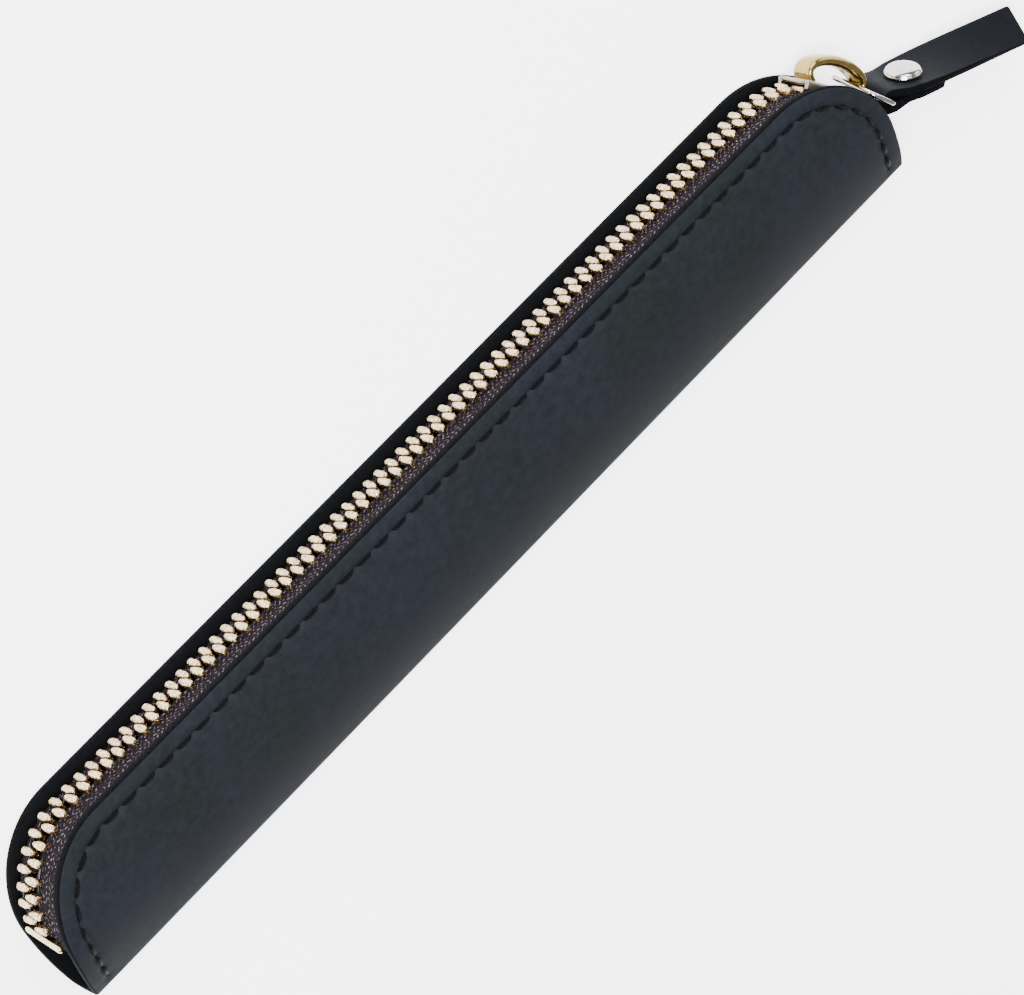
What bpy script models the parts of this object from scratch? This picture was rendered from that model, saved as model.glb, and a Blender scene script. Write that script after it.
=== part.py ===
"""Slim leather pen case with a metal zip, lying on its back panel.

One piece of leather is folded along the bottom. A zip is sewn between the two
panel edges, over the top and round both ends. X runs along the case from the
bottom stop to the slider, Y from the fold to the zip, Z up. The origin is the
middle of the back panel's flat underside. All values are in metres.
"""
import math

import bmesh
import bpy
from mathutils import Matrix, Vector

# Leather body
CASE_LENGTH = 0.190
PANEL_HEIGHT = 0.0305
MOUTH_WIDTH = 0.0142
LEATHER_THICKNESS = 0.0015
FOLD_RADIUS = 0.0027
NEAR_CORNER_SHARE = 0.5082
FAR_CORNER_SHARE = 0.62295
FRONT_EDGE_DROP = 0.0005
NEAR_END_TAPER = 0.0022
FOLD_SLOPE = math.radians(38)
EDGE_SLOPE = math.radians(1.5)

# Clearance between pieces that touch on the real case
FIT_GAP = 0.0003

# Zip chain, measured from its centre line
CHAIN_INSET = 0.00215
CHAIN_HEIGHT = 0.0055
TOOTH_PITCH = 0.00246
TOOTH_ROOT = 0.0026
TOOTH_SHOULDER = 0.0009
TOOTH_OVERLAP = 0.00045
TOOTH_WIDTH = 0.00135
TOOTH_TIP_WIDTH = 0.0008
TOOTH_THICKNESS = 0.0027
TOOTH_TIP_THICKNESS = 0.0019
BEAD_OUTER = 0.0023
BEAD_INNER = 0.0015
BEAD_THICKNESS = 0.0012

# Woven tapes
TAPE_THICKNESS = 0.0005
TAPE_FLAP = 0.008
TAPE_END_SHARE = 0.4197

# Stops at the two ends of the chain
BOTTOM_STOP_LENGTH = 0.0022
BOTTOM_STOP_HALF_WIDTH = 0.0032
BOTTOM_STOP_RISE = 0.0002
STOP_THICKNESS = 0.0030
STOP_LID = 0.0009
TOP_STOP_LENGTH = 0.0021
TOP_STOP_INNER = 0.0011
TOP_STOP_GAP = 0.0003

# Slider body; along its travel, across it and away from the chain
SLIDER_ANGLE = math.radians(52)
SLIDER_LENGTH = 0.0122
SLIDER_REAR_WIDTH = 0.0068
SLIDER_FRONT_WIDTH = 0.0074
SLIDER_SHOULDER = 0.0015
PLATE_THICKNESS = 0.0009
FLANGE_THICKNESS = 0.00045
FLANGE_DEPTH = 0.0013
CHANNEL_CLEARANCE = 0.0003
LOWER_PLATE_DROP = 0.0012
LOWER_PLATE_THICKNESS = 0.0009
LOWER_PLATE_LENGTH = 0.0094
NECK_LENGTH = 0.0024
NECK_WIDTH = 0.0016
NECK_SETBACK = 0.0010

# Crown, the arched loop on the slider that holds the pull ring
CROWN_WIDTH = 0.0038
CROWN_STRIP = 0.0009
CROWN_LENGTH_SHARE = 0.4508
CROWN_HEIGHT = 0.0040
CROWN_FORWARD_SHARE = 0.1311
CROWN_TUCK = math.radians(32)

# Pull ring
RING_WIRE_RADIUS = 0.00045
RING_REACH = 0.0055
RING_BEND = 0.0009
RING_HEADING = math.radians(-57)
RING_SEAT_SETBACK = 0.00165
RING_SEAT_DROP = 0.0002
RING_LIFT = 0.0012
PULL_LEAN = math.radians(12)

# Pull strap and its rivet
STRAP_WIDTH = 0.0104
STRAP_LOOP_WIDTH = 0.0094
STRAP_TAIL_WIDTH = 0.0069
STRAP_THICKNESS = 0.0013
STRAP_LENGTH = 0.0322
STRAP_TURN_BACK = 0.0125
STRAP_HEADING = math.radians(-20.3)
STRAP_SINK = 0.0016
STRAP_TWIST_START = 0.006
STRAP_TWIST = math.radians(48)
RIVET_DISTANCE = 0.0063
RIVET_CAP_RADIUS = 0.0031
RIVET_CAP_HEIGHT = 0.0012
RIVET_POST_RADIUS = 0.0011
RIVET_FOOT_RADIUS = 0.0024
RIVET_FOOT_HEIGHT = 0.0005
RIVET_CLEARANCE = 0.0002
RIVET_FOOT_GAP = 0.0005

# Facets
CORNER_STEPS = 10
FOLD_STEPS = 8
PANEL_STEPS = 7
RING_STEPS = 10
ROUND_STEPS = 20
CROWN_STEPS = 18
STRAP_STEP = 0.0016

# Places worked out from the sizes above
FOLD_Y = -PANEL_HEIGHT / 2
EDGE_Y = PANEL_HEIGHT / 2
HALF_LENGTH = CASE_LENGTH / 2
NEAR_CORNER_RADIUS = PANEL_HEIGHT * NEAR_CORNER_SHARE
FAR_CORNER_RADIUS = PANEL_HEIGHT * FAR_CORNER_SHARE
TAPE_END_RISE = PANEL_HEIGHT * TAPE_END_SHARE
NEAR_CORNER = Vector((-HALF_LENGTH + NEAR_CORNER_RADIUS, EDGE_Y - NEAR_CORNER_RADIUS))
FAR_CORNER = Vector((HALF_LENGTH - FAR_CORNER_RADIUS, EDGE_Y - FAR_CORNER_RADIUS))
NEAR_CHAIN_RADIUS = NEAR_CORNER_RADIUS - CHAIN_INSET
FAR_CHAIN_RADIUS = FAR_CORNER_RADIUS - CHAIN_INSET
TAPE_INNER = TOOTH_ROOT + FIT_GAP
CROWN_HALF_LENGTH = SLIDER_LENGTH * CROWN_LENGTH_SHARE
CROWN_FORWARD = SLIDER_LENGTH * CROWN_FORWARD_SHARE

# Colours, linear
COLOURS = {
    "leather": ((0.034, 0.039, 0.047), 0.55, 0.0),
    "tape": ((0.075, 0.052, 0.066), 0.9, 0.0),
    "teeth": ((0.72, 0.60, 0.40), 0.3, 1.0),
    "stop": ((0.80, 0.74, 0.66), 0.25, 1.0),
    "slider": ((0.50, 0.40, 0.32), 0.3, 1.0),
    "crown": ((0.62, 0.50, 0.22), 0.2, 1.0),
    "silver": ((0.75, 0.75, 0.75), 0.15, 1.0),
}


def clear_scene():
    """Take every object out of the open scene."""
    for item in list(bpy.data.objects):
        bpy.data.objects.remove(item, do_unlink=True)


def material(name):
    """Return the Principled material of one finish."""
    found = bpy.data.materials.get(name)
    if found:
        return found
    colour, roughness, metallic = COLOURS[name]
    made = bpy.data.materials.new(name)
    made.use_nodes = True
    shader = made.node_tree.nodes["Principled BSDF"]
    shader.inputs["Base Color"].default_value = (*colour, 1.0)
    shader.inputs["Roughness"].default_value = roughness
    shader.inputs["Metallic"].default_value = metallic
    return made


def object_from(shape, name, finish):
    """Turn a bmesh into a named object with outward faces."""
    bmesh.ops.recalc_face_normals(shape, faces=shape.faces)
    mesh = bpy.data.meshes.new(name)
    shape.to_mesh(mesh)
    shape.free()
    made = bpy.data.objects.new(name, mesh)
    bpy.context.collection.objects.link(made)
    mesh.materials.append(material(finish))
    return made


def loft(loops):
    """Bridge equal loops of points in turn and cap both ends."""
    shape = bmesh.new()
    rows = [[shape.verts.new(point) for point in loop] for loop in loops]
    count = len(rows[0])
    for near, far in zip(rows, rows[1:]):
        for i in range(count):
            j = (i + 1) % count
            shape.faces.new((near[i], near[j], far[j], far[i]))
    shape.faces.new(list(reversed(rows[0])))
    shape.faces.new(rows[-1])
    return shape


def prism(outline, place, low, high):
    """Extrude an outline of (a, b) points; place(a, b, c) gives the world point."""
    return loft([[place(a, b, c) for a, b in outline] for c in (low, high)])


def boolean(target, tool, operation):
    """Join a tool object to the target, or cut it out, and remove the tool."""
    change = target.modifiers.new(operation.title(), "BOOLEAN")
    change.operation = operation
    change.object = tool
    change.solver = "EXACT"
    bpy.context.view_layer.update()
    evaluated = target.evaluated_get(bpy.context.evaluated_depsgraph_get())
    mesh = bpy.data.meshes.new_from_object(evaluated)
    target.modifiers.clear()
    target.data = mesh
    bpy.data.objects.remove(tool, do_unlink=True)


def set_origin(target, origin):
    """Move an object's origin without moving its mesh."""
    target.data.transform(Matrix.Translation(-Vector(origin)))
    target.location = origin


def smooth(target, angle=math.radians(40)):
    """Shade round faces smooth and keep the sharp edges."""
    target.data.shade_smooth()
    target.data.set_sharp_from_angle(angle=angle)


def front_curve():
    """Three control points (y, z) of the front panel's outer face."""
    start = Vector((FOLD_Y + FOLD_RADIUS * (1 - math.sin(FOLD_SLOPE)),
                    FOLD_RADIUS * (1 + math.cos(FOLD_SLOPE))))
    end = Vector((EDGE_Y - FRONT_EDGE_DROP, MOUTH_WIDTH))
    rise = math.tan(FOLD_SLOPE)
    level = math.tan(EDGE_SLOPE)
    middle_y = (end.y - level * end.x - start.y + rise * start.x) / (rise - level)
    middle = Vector((middle_y, start.y + rise * (middle_y - start.x)))
    return start, middle, end


def front_at(y):
    """Outer point and unit normal of the front panel at one y."""
    start, middle, end = front_curve()
    a = start.x - 2 * middle.x + end.x
    b = 2 * (middle.x - start.x)
    c = start.x - y
    t = 2 * c / (-b - math.sqrt(b * b - 4 * a * c))
    point = (1 - t) ** 2 * start + 2 * t * (1 - t) * middle + t * t * end
    tangent = (1 - t) * (middle - start) + t * (end - middle)
    tangent.normalize()
    return point, Vector((-tangent.y, tangent.x))


def front_inner_height(y):
    """Height of the front panel's inner face above the floor at one y."""
    point, normal = front_at(y)
    slope = -normal.x / normal.y
    return point.y - LEATHER_THICKNESS / normal.y + slope * (y - point.x)


def end_reach(y, edge_y, radius, taper):
    """Distance of a panel's end from the middle: rounded at the top, drawn in at the fold."""
    above = y - (edge_y - radius)
    if above <= 0:
        share = above / (edge_y - radius - FOLD_Y)
        return HALF_LENGTH - taper * share * share
    return HALF_LENGTH - radius + math.sqrt(max(radius ** 2 - above ** 2, 0))


def near_and_far(y, edge_y):
    """X of a panel's two ends at one y."""
    near = end_reach(y, edge_y, NEAR_CORNER_RADIUS, NEAR_END_TAPER)
    return -near, end_reach(y, edge_y, FAR_CORNER_RADIUS, 0)


def corner_levels(edge_y):
    """Values of y up the rounded corners, from their start to the panel's edge."""
    radius = max(NEAR_CORNER_RADIUS, FAR_CORNER_RADIUS)
    quarter = math.pi / 2
    return [edge_y - radius + radius * math.sin(quarter * i / CORNER_STEPS)
            for i in range(CORNER_STEPS + 1)]


def body_rows():
    """Outer point, normal and two ends of each row, back edge to front edge."""
    rows = []
    levels = corner_levels(EDGE_Y)
    straight = levels[0] - FOLD_Y - FOLD_RADIUS
    plain = [levels[0] - straight * i / PANEL_STEPS for i in range(1, PANEL_STEPS)]
    for y in list(reversed(levels)) + plain:
        rows.append((Vector((y, 0)), Vector((0, -1)), near_and_far(y, EDGE_Y)))
    turn = math.pi - FOLD_SLOPE
    for i in range(FOLD_STEPS + 1):
        angle = -math.pi / 2 - turn * i / FOLD_STEPS
        normal = Vector((math.cos(angle), math.sin(angle)))
        centre = Vector((FOLD_Y + FOLD_RADIUS, FOLD_RADIUS))
        outer = centre + FOLD_RADIUS * normal
        rows.append((outer, normal, near_and_far(outer.x, EDGE_Y)))
    front_edge = EDGE_Y - FRONT_EDGE_DROP
    levels = corner_levels(front_edge)
    first = rows[-1][0].x
    plain = [first + (levels[0] - first) * i / PANEL_STEPS for i in range(1, PANEL_STEPS)]
    for y in plain + levels:
        point, normal = front_at(y)
        rows.append((point, normal, near_and_far(y, front_edge)))
    return rows


def leather_body():
    """The folded leather with both panels and their rounded upper corners."""
    loops = []
    for outer, normal, (near, far) in body_rows():
        inner = outer - LEATHER_THICKNESS * normal
        loops.append([(near, outer.x, outer.y), (far, outer.x, outer.y),
                      (far, inner.x, inner.y), (near, inner.x, inner.y)])
    made = object_from(loft(loops), "leather_body", "leather")
    smooth(made)
    return made


def path_lengths():
    """Lengths of the path's four parts: near end, near corner, top, far corner."""
    quarter = math.pi / 2
    end = NEAR_CORNER.y - (FOLD_Y + TAPE_END_RISE)
    return end, NEAR_CHAIN_RADIUS * quarter, FAR_CORNER.x - NEAR_CORNER.x, FAR_CHAIN_RADIUS * quarter


def round_corner(centre, radius, angle):
    """Point and outward normal on a corner of the path."""
    normal = Vector((math.cos(angle), math.sin(angle)))
    return centre + radius * normal, normal


def path_at(distance):
    """Point on the chain's centre line, and its outward normal, in the XY plane."""
    end, near, top, _ = path_lengths()
    if distance < end:
        point, normal = round_corner(NEAR_CORNER, NEAR_CHAIN_RADIUS, math.pi)
        return point - Vector((0, end - distance)), normal
    distance -= end
    if distance < near:
        return round_corner(NEAR_CORNER, NEAR_CHAIN_RADIUS, math.pi - distance / NEAR_CHAIN_RADIUS)
    distance -= near
    if distance < top:
        point, normal = round_corner(NEAR_CORNER, NEAR_CHAIN_RADIUS, math.pi / 2)
        return point + Vector((distance, 0)), normal
    distance -= top
    turned_by = distance / FAR_CHAIN_RADIUS
    inside = abs(turned_by - SLIDER_ANGLE) < slider_half_angle()
    if not inside:
        return round_corner(FAR_CORNER, FAR_CHAIN_RADIUS, math.pi / 2 - turned_by)
    middle, normal = round_corner(FAR_CORNER, slider_radius(), math.pi / 2 - SLIDER_ANGLE)
    share = (turned_by - SLIDER_ANGLE) / slider_half_angle()
    reach = share * FAR_CHAIN_RADIUS * math.sin(slider_half_angle())
    return middle + reach * Vector((normal.y, -normal.x)), normal


def slider_half_angle():
    """Half the angle that the slider takes up on the far corner."""
    return SLIDER_LENGTH / 2 / FAR_CHAIN_RADIUS


def slider_radius():
    """Distance from the far corner's middle to the straight chain inside the slider."""
    return FAR_CHAIN_RADIUS * math.cos(slider_half_angle())


def slider_distance():
    """Distance along the path to the slider's middle."""
    end, near, top, _ = path_lengths()
    return end + near + top + FAR_CHAIN_RADIUS * SLIDER_ANGLE


def on_chain(distance, across, out):
    """World point beside the chain: across is along Z, out away from the case."""
    point, normal = path_at(distance)
    spot = point + out * normal
    return spot.x, spot.y, CHAIN_HEIGHT + across


def tooth_section(side, half_width):
    """Offsets of a tooth's six corners: along the chain, across it and outward."""
    root = TOOTH_THICKNESS / 2
    tip = TOOTH_TIP_THICKNESS / 2
    tip_width = half_width * TOOTH_TIP_WIDTH / TOOTH_WIDTH
    return [(half_width, side * TOOTH_ROOT, -root), (half_width, side * TOOTH_ROOT, root),
            (half_width, side * TOOTH_SHOULDER, root), (tip_width, -side * TOOTH_OVERLAP, tip),
            (tip_width, -side * TOOTH_OVERLAP, -tip), (half_width, side * TOOTH_SHOULDER, -root)]


def bead_section(side, along):
    """Offsets of the bead cord's section at the same six places."""
    half = BEAD_THICKNESS / 2
    middle = (BEAD_OUTER + BEAD_INNER) / 2
    return [(along, side * BEAD_OUTER, -half), (along, side * BEAD_OUTER, half),
            (along, side * middle, half), (along, side * BEAD_INNER, half),
            (along, side * BEAD_INNER, -half), (along, side * middle, -half)]


def chain_row(name, side, shift):
    """One row of teeth on its bead cord, from the bottom stop to the top stop."""
    start = stop_distance() + BOTTOM_STOP_LENGTH / 2 + FIT_GAP
    finish = top_stop_distance() - TOP_STOP_LENGTH / 2 - FIT_GAP
    last_tooth = slider_distance() + SLIDER_LENGTH / 2 - teeth_setback()
    half = TOOTH_WIDTH / 2
    first = start + TOOTH_WIDTH + shift
    count = int((last_tooth - first) / TOOTH_PITCH) + 1
    loops = [[on_chain(start + d, a, o) for d, a, o in bead_section(side, 0)]]
    for i in range(count):
        centre = first + i * TOOTH_PITCH
        for along, face in ((-half, tooth_section(side, -half)), (half, tooth_section(side, half))):
            bead = [on_chain(centre + d, a, o) for d, a, o in bead_section(side, along)]
            tooth = [on_chain(centre + d, a, o) for d, a, o in face]
            loops += [bead, tooth] if along < 0 else [tooth, bead]
    tail = first + (count - 1) * TOOTH_PITCH + half
    steps = 3
    for i in range(1, steps + 1):
        here = tail + (finish - tail) * i / steps
        loops.append([on_chain(here + d, a, o) for d, a, o in bead_section(side, 0)])
    return object_from(loft(loops), name, "teeth")


def stop_distance():
    """Distance along the path to the bottom stop's middle."""
    return BOTTOM_STOP_RISE + BOTTOM_STOP_LENGTH / 2


def neck_span():
    """Start and end of the slider's neck along its own length."""
    front = SLIDER_LENGTH / 2 - NECK_SETBACK
    return front - NECK_LENGTH, front


def teeth_setback():
    """Room that the neck takes in front of the last meshed teeth."""
    return SLIDER_LENGTH / 2 - neck_span()[0] + TOOTH_WIDTH / 2 + FIT_GAP


def top_stop_distance():
    """Distance along the path to the top stops' middle."""
    return slider_distance() + SLIDER_LENGTH / 2 + TOP_STOP_GAP + TOP_STOP_LENGTH / 2


def bottom_stop():
    """Clamp across both rows at the near end of the chain."""
    lid = STOP_THICKNESS / 2
    step = lid - STOP_LID
    wide, narrow = BOTTOM_STOP_HALF_WIDTH, TOOTH_ROOT
    outline = [(-wide, lid), (wide, lid), (wide, step), (narrow, step),
               (narrow, -lid), (-narrow, -lid), (-narrow, step), (-wide, step)]
    here = stop_distance()
    ends = (here - BOTTOM_STOP_LENGTH / 2, here + BOTTOM_STOP_LENGTH / 2)
    loops = [[on_chain(d, across, out) for across, out in outline] for d in ends]
    return object_from(loft(loops), "bottom_stop", "stop")


def top_stop(name, side):
    """Small clamp that holds the slider at the closed end of one row."""
    half = STOP_THICKNESS / 2
    outline = [(side * TOP_STOP_INNER, half), (side * TOOTH_ROOT, half),
               (side * TOOTH_ROOT, -half), (side * TOP_STOP_INNER, -half)]
    here = top_stop_distance()
    ends = (here - TOP_STOP_LENGTH / 2, here + TOP_STOP_LENGTH / 2)
    loops = [[on_chain(d, across, out) for across, out in outline] for d in ends]
    return object_from(loft(loops), name, "stop")


def tape_stations():
    """Distances along the path where a tape has a section."""
    end, near, top, far = path_lengths()
    stations = [0]
    stations += [end + near * i / CORNER_STEPS for i in range(CORNER_STEPS + 1)]
    stations += [end + near + top + far * i / CORNER_STEPS for i in range(CORNER_STEPS + 1)]
    stations += [slider_distance() - SLIDER_LENGTH / 2, slider_distance() + SLIDER_LENGTH / 2]
    return sorted(stations)


def tape_normal(distance):
    """Outward direction of the tape's flap, which fans evenly round the far corner."""
    point, normal = path_at(distance)
    if point.x > FAR_CORNER.x:
        return (point - FAR_CORNER).normalized()
    return normal


def tape_surface(distance, inward, side):
    """Point on the face of the tape's flap that lies against its panel."""
    point, _ = path_at(distance)
    spot = point - inward * tape_normal(distance)
    if side > 0:
        height = front_inner_height(spot.y) - FIT_GAP
    else:
        height = LEATHER_THICKNESS + FIT_GAP
    return Vector((spot.x, spot.y, height))


def tape(name, side):
    """Woven tape: a web beside the chain and a flap along the inside of its panel."""
    half = TAPE_THICKNESS / 2
    flap_steps = 4
    reaches = [TAPE_FLAP * i / flap_steps for i in range(1, flap_steps + 1)]
    down = Vector((0, 0, -side * TAPE_THICKNESS))
    loops = []
    for distance in tape_stations():
        web_in = Vector(on_chain(distance, side * TAPE_INNER, -half))
        web_out = Vector(on_chain(distance, side * TAPE_INNER, half))
        outer = [tape_surface(distance, inward, side) for inward in [-half] + reaches]
        inner = [tape_surface(distance, inward, side) + down for inward in [half] + reaches]
        loops.append([web_in, web_out] + outer + list(reversed(inner)))
    made = object_from(loft(loops), name, "tape")
    smooth(made)
    return made


def slider_pivot():
    """Middle of the far corner, about which the slider travels."""
    return Vector((FAR_CORNER.x, FAR_CORNER.y, CHAIN_HEIGHT))


def slider_frame():
    """Matrix from the slider's own axes (travel, outward, across) to the world."""
    outward = Vector((math.sin(SLIDER_ANGLE), math.cos(SLIDER_ANGLE), 0))
    travel = Vector((math.cos(SLIDER_ANGLE), -math.sin(SLIDER_ANGLE), 0))
    centre = slider_pivot() + slider_radius() * outward
    across = Vector((0, 0, 1))
    turn = Matrix((travel, outward, across)).transposed().to_4x4()
    return Matrix.Translation(centre) @ turn


def slider_box(name, travel, outward, across):
    """Block in the slider's axes from its low and high ends along each of them."""
    frame = slider_frame()
    outline = [(travel[0], outward[0]), (travel[1], outward[0]),
               (travel[1], outward[1]), (travel[0], outward[1])]
    shape = prism(outline, lambda a, b, c: frame @ Vector((a, b, c)), *across)
    return object_from(shape, name, "slider")


def plate_base():
    """Distance from the chain's centre line to the underside of the top plate."""
    return TOOTH_THICKNESS / 2 + CHANNEL_CLEARANCE


def slider_top():
    """Distance from the chain's centre line to the top plate's upper face."""
    return plate_base() + PLATE_THICKNESS


def slider_body():
    """Top plate with shoulders, side flanges, neck and lower plate, as one casting."""
    frame = slider_frame()
    rear, front = -SLIDER_LENGTH / 2, SLIDER_LENGTH / 2
    narrow, wide = SLIDER_REAR_WIDTH / 2, SLIDER_FRONT_WIDTH / 2
    waist = front - 2 * SLIDER_SHOULDER
    nose = front - SLIDER_SHOULDER
    half = [(rear, narrow * 0.7), (rear + (narrow * 0.3), narrow), (waist, narrow),
            (nose, wide), (front - (wide * 0.2), wide), (front, wide * 0.7)]
    outline = half + [(a, -b) for a, b in reversed(half)]
    place_flat = lambda a, b, c: frame @ Vector((a, c, b))
    body = object_from(prism(outline, place_flat, plate_base(), slider_top()), "slider_body", "slider")
    inner = TOOTH_ROOT + CHANNEL_CLEARANCE
    outer = inner + FLANGE_THICKNESS
    buried = plate_base() + PLATE_THICKNESS / 2
    neck_rear, neck_front = neck_span()
    for side in (-1, 1):
        flange = slider_box("flange", (rear, neck_front), (plate_base() - FLANGE_DEPTH, buried),
                            (side * inner, side * outer))
        boolean(body, flange, "UNION")
    lower_top = -TOOTH_THICKNESS / 2 - LOWER_PLATE_DROP
    lower_low = lower_top - LOWER_PLATE_THICKNESS
    neck = slider_box("neck", (neck_rear, neck_front), ((lower_top + lower_low) / 2, buried),
                      (-NECK_WIDTH / 2, NECK_WIDTH / 2))
    boolean(body, neck, "UNION")
    lower = slider_box("lower", (neck_front - LOWER_PLATE_LENGTH, neck_front),
                       (lower_low, lower_top), (FIT_GAP - TOOTH_ROOT, TOOTH_ROOT - FIT_GAP))
    boolean(body, lower, "UNION")
    set_origin(body, slider_pivot())
    return body


def crown_point(angle, grow):
    """Point on the crown's ellipse, grown or shrunk by grow, in slider axes."""
    rise = CROWN_HEIGHT - CROWN_STRIP
    along = CROWN_FORWARD + (CROWN_HALF_LENGTH + grow) * math.cos(angle)
    out = slider_top() + FIT_GAP + (rise * math.sin(CROWN_TUCK) + (rise + grow) * math.sin(angle)) / (
        1 + math.sin(CROWN_TUCK))
    return along, out


def slider_crown():
    """Arched strip that stands on the top plate and holds the pull ring."""
    frame = slider_frame()
    sweep = math.pi + 2 * CROWN_TUCK
    half = CROWN_STRIP / 2
    loops = []
    for i in range(CROWN_STEPS + 1):
        angle = math.pi + CROWN_TUCK - sweep * i / CROWN_STEPS
        inner, outer = crown_point(angle, -half), crown_point(angle, half)
        width = CROWN_WIDTH / 2
        loops.append([frame @ Vector((*inner, -width)), frame @ Vector((*outer, -width)),
                      frame @ Vector((*outer, width)), frame @ Vector((*inner, width))])
    made = object_from(loft(loops), "slider_crown", "crown")
    set_origin(made, slider_pivot())
    smooth(made)
    return made


def ring_inner_bar():
    """World place of the ring's bar inside the crown's nose."""
    along, _ = crown_point(0, -RING_SEAT_SETBACK)
    out = crown_point(0, 0)[1] - RING_SEAT_DROP
    return slider_frame() @ Vector((along, out, RING_LIFT))


def pull_lean():
    """Axis along both of the ring's bars, which lean with the strap."""
    heading = Vector((math.cos(STRAP_HEADING), math.sin(STRAP_HEADING), 0))
    return Matrix.Rotation(PULL_LEAN, 3, heading) @ Vector((0, 0, 1))


def ring_heading():
    """Direction in the ring's plane from its inner bar to its outer bar."""
    level = Vector((math.cos(RING_HEADING), math.sin(RING_HEADING), 0))
    lean = pull_lean()
    return (level - level.dot(lean) * lean).normalized()


def ring_outer_bar():
    """World place of the ring's bar inside the strap's loop."""
    return ring_inner_bar() + RING_REACH * ring_heading()


def ring_path():
    """Centre line of the ring's wire as (reach, height) points."""
    half = STRAP_LOOP_WIDTH / 2 + FIT_GAP + RING_WIRE_RADIUS
    corners = [(0, -half), (RING_REACH, -half), (RING_REACH, half), (0, half)]
    points = []
    bend_steps = 4
    for i, (a, b) in enumerate(corners):
        centre = Vector((a - math.copysign(RING_BEND, a - RING_REACH / 2),
                         b - math.copysign(RING_BEND, b)))
        start = math.pi + i * math.pi / 2
        for k in range(bend_steps + 1):
            angle = start + k * math.pi / 2 / bend_steps
            points.append(centre + RING_BEND * Vector((math.cos(angle), math.sin(angle))))
    return points


def pull_ring():
    """Rounded wire ring that joins the crown to the strap."""
    heading, lean = ring_heading(), pull_lean()
    side = lean.cross(heading)
    base = ring_inner_bar()
    points = ring_path()
    shape = bmesh.new()
    rows = []
    for i, point in enumerate(points):
        before, after = points[i - 1], points[(i + 1) % len(points)]
        tangent = (after - before).normalized()
        outward = Vector((tangent.y, -tangent.x))
        row = []
        for k in range(RING_STEPS):
            angle = 2 * math.pi * k / RING_STEPS
            flat = point + RING_WIRE_RADIUS * math.cos(angle) * outward
            lift = RING_WIRE_RADIUS * math.sin(angle)
            row.append(shape.verts.new(base + flat.x * heading + lift * side + flat.y * lean))
        rows.append(row)
    for i, row in enumerate(rows):
        following = rows[(i + 1) % len(rows)]
        for k in range(RING_STEPS):
            j = (k + 1) % RING_STEPS
            shape.faces.new((row[k], row[j], following[j], following[k]))
    made = object_from(shape, "pull_ring", "silver")
    set_origin(made, base)
    smooth(made)
    return made


def strap_frame(along):
    """Origin, heading, face normal and width axis of the strap at one place."""
    heading = Vector((math.cos(STRAP_HEADING), math.sin(STRAP_HEADING), 0))
    reach = max(along - STRAP_TWIST_START, 0)
    share = min(reach / (STRAP_LENGTH - STRAP_TWIST_START), 1)
    centre = ring_outer_bar() + along * heading - Vector((0, 0, STRAP_SINK * share))
    turn = Matrix.Rotation(PULL_LEAN + STRAP_TWIST * share, 3, heading)
    normal = turn @ Vector((-heading.y, heading.x, 0))
    return centre, heading, normal, turn @ Vector((0, 0, 1))


def strap_point(along, out, across):
    """World point of the strap: out is along the face normal."""
    centre, _, normal, width = strap_frame(along)
    return centre + out * normal + across * width


def strap_half_width(along):
    """Half the strap's width: drawn in at the ring, full at the rivet, narrow at the tail."""
    if along < RIVET_DISTANCE:
        share = max(along, 0) / RIVET_DISTANCE
        return (STRAP_LOOP_WIDTH + (STRAP_WIDTH - STRAP_LOOP_WIDTH) * share) / 2
    share = min((along - RIVET_DISTANCE) / (STRAP_LENGTH - RIVET_DISTANCE), 1)
    return (STRAP_TAIL_WIDTH + (STRAP_WIDTH - STRAP_TAIL_WIDTH) * (1 - share) ** 2) / 2


def strap_line():
    """Middle line of the folded strap as (along, out) points, turn-back first."""
    layer = STRAP_THICKNESS / 2 + FIT_GAP / 2
    loop = RING_WIRE_RADIUS + FIT_GAP + STRAP_THICKNESS / 2
    pinch = 2 * loop
    back, front = [], []
    steps = int(round(STRAP_LENGTH / STRAP_STEP))
    for i in range(steps + 1):
        along = pinch + (STRAP_LENGTH - pinch) * i / steps
        front.append((along, layer))
        if along <= STRAP_TURN_BACK:
            back.append((along, -layer))
    open_angle = math.acos(min((loop + layer) / (2 * loop), 1)) + math.radians(20)
    arc_steps = 10
    sweep = 2 * math.pi - 2 * (math.pi / 2 - open_angle)
    bend = []
    for i in range(arc_steps + 1):
        angle = -math.pi / 2 + open_angle - sweep * i / arc_steps
        bend.append((loop * math.cos(angle), loop * math.sin(angle)))
    return list(reversed(back)) + bend + front


def strap():
    """Leather tab folded round the ring, with a short turn-back under its tail."""
    line = [Vector(point) for point in strap_line()]
    half = STRAP_THICKNESS / 2
    loops = []
    for i, point in enumerate(line):
        before, after = line[max(i - 1, 0)], line[min(i + 1, len(line) - 1)]
        tangent = (after - before).normalized()
        out = Vector((-tangent.y, tangent.x))
        low, high = point - half * out, point + half * out
        side = strap_half_width(point.x)
        loops.append([strap_point(low.x, low.y, -side), strap_point(high.x, high.y, -side),
                      strap_point(high.x, high.y, side), strap_point(low.x, low.y, side)])
    made = object_from(loft(loops), "strap", "leather")
    hole = turned("hole", [(0, -STRAP_WIDTH), (RIVET_POST_RADIUS + RIVET_CLEARANCE, -STRAP_WIDTH),
                           (RIVET_POST_RADIUS + RIVET_CLEARANCE, STRAP_WIDTH), (0, STRAP_WIDTH)], "leather")
    boolean(made, hole, "DIFFERENCE")
    set_origin(made, ring_outer_bar())
    smooth(made)
    return made


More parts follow.
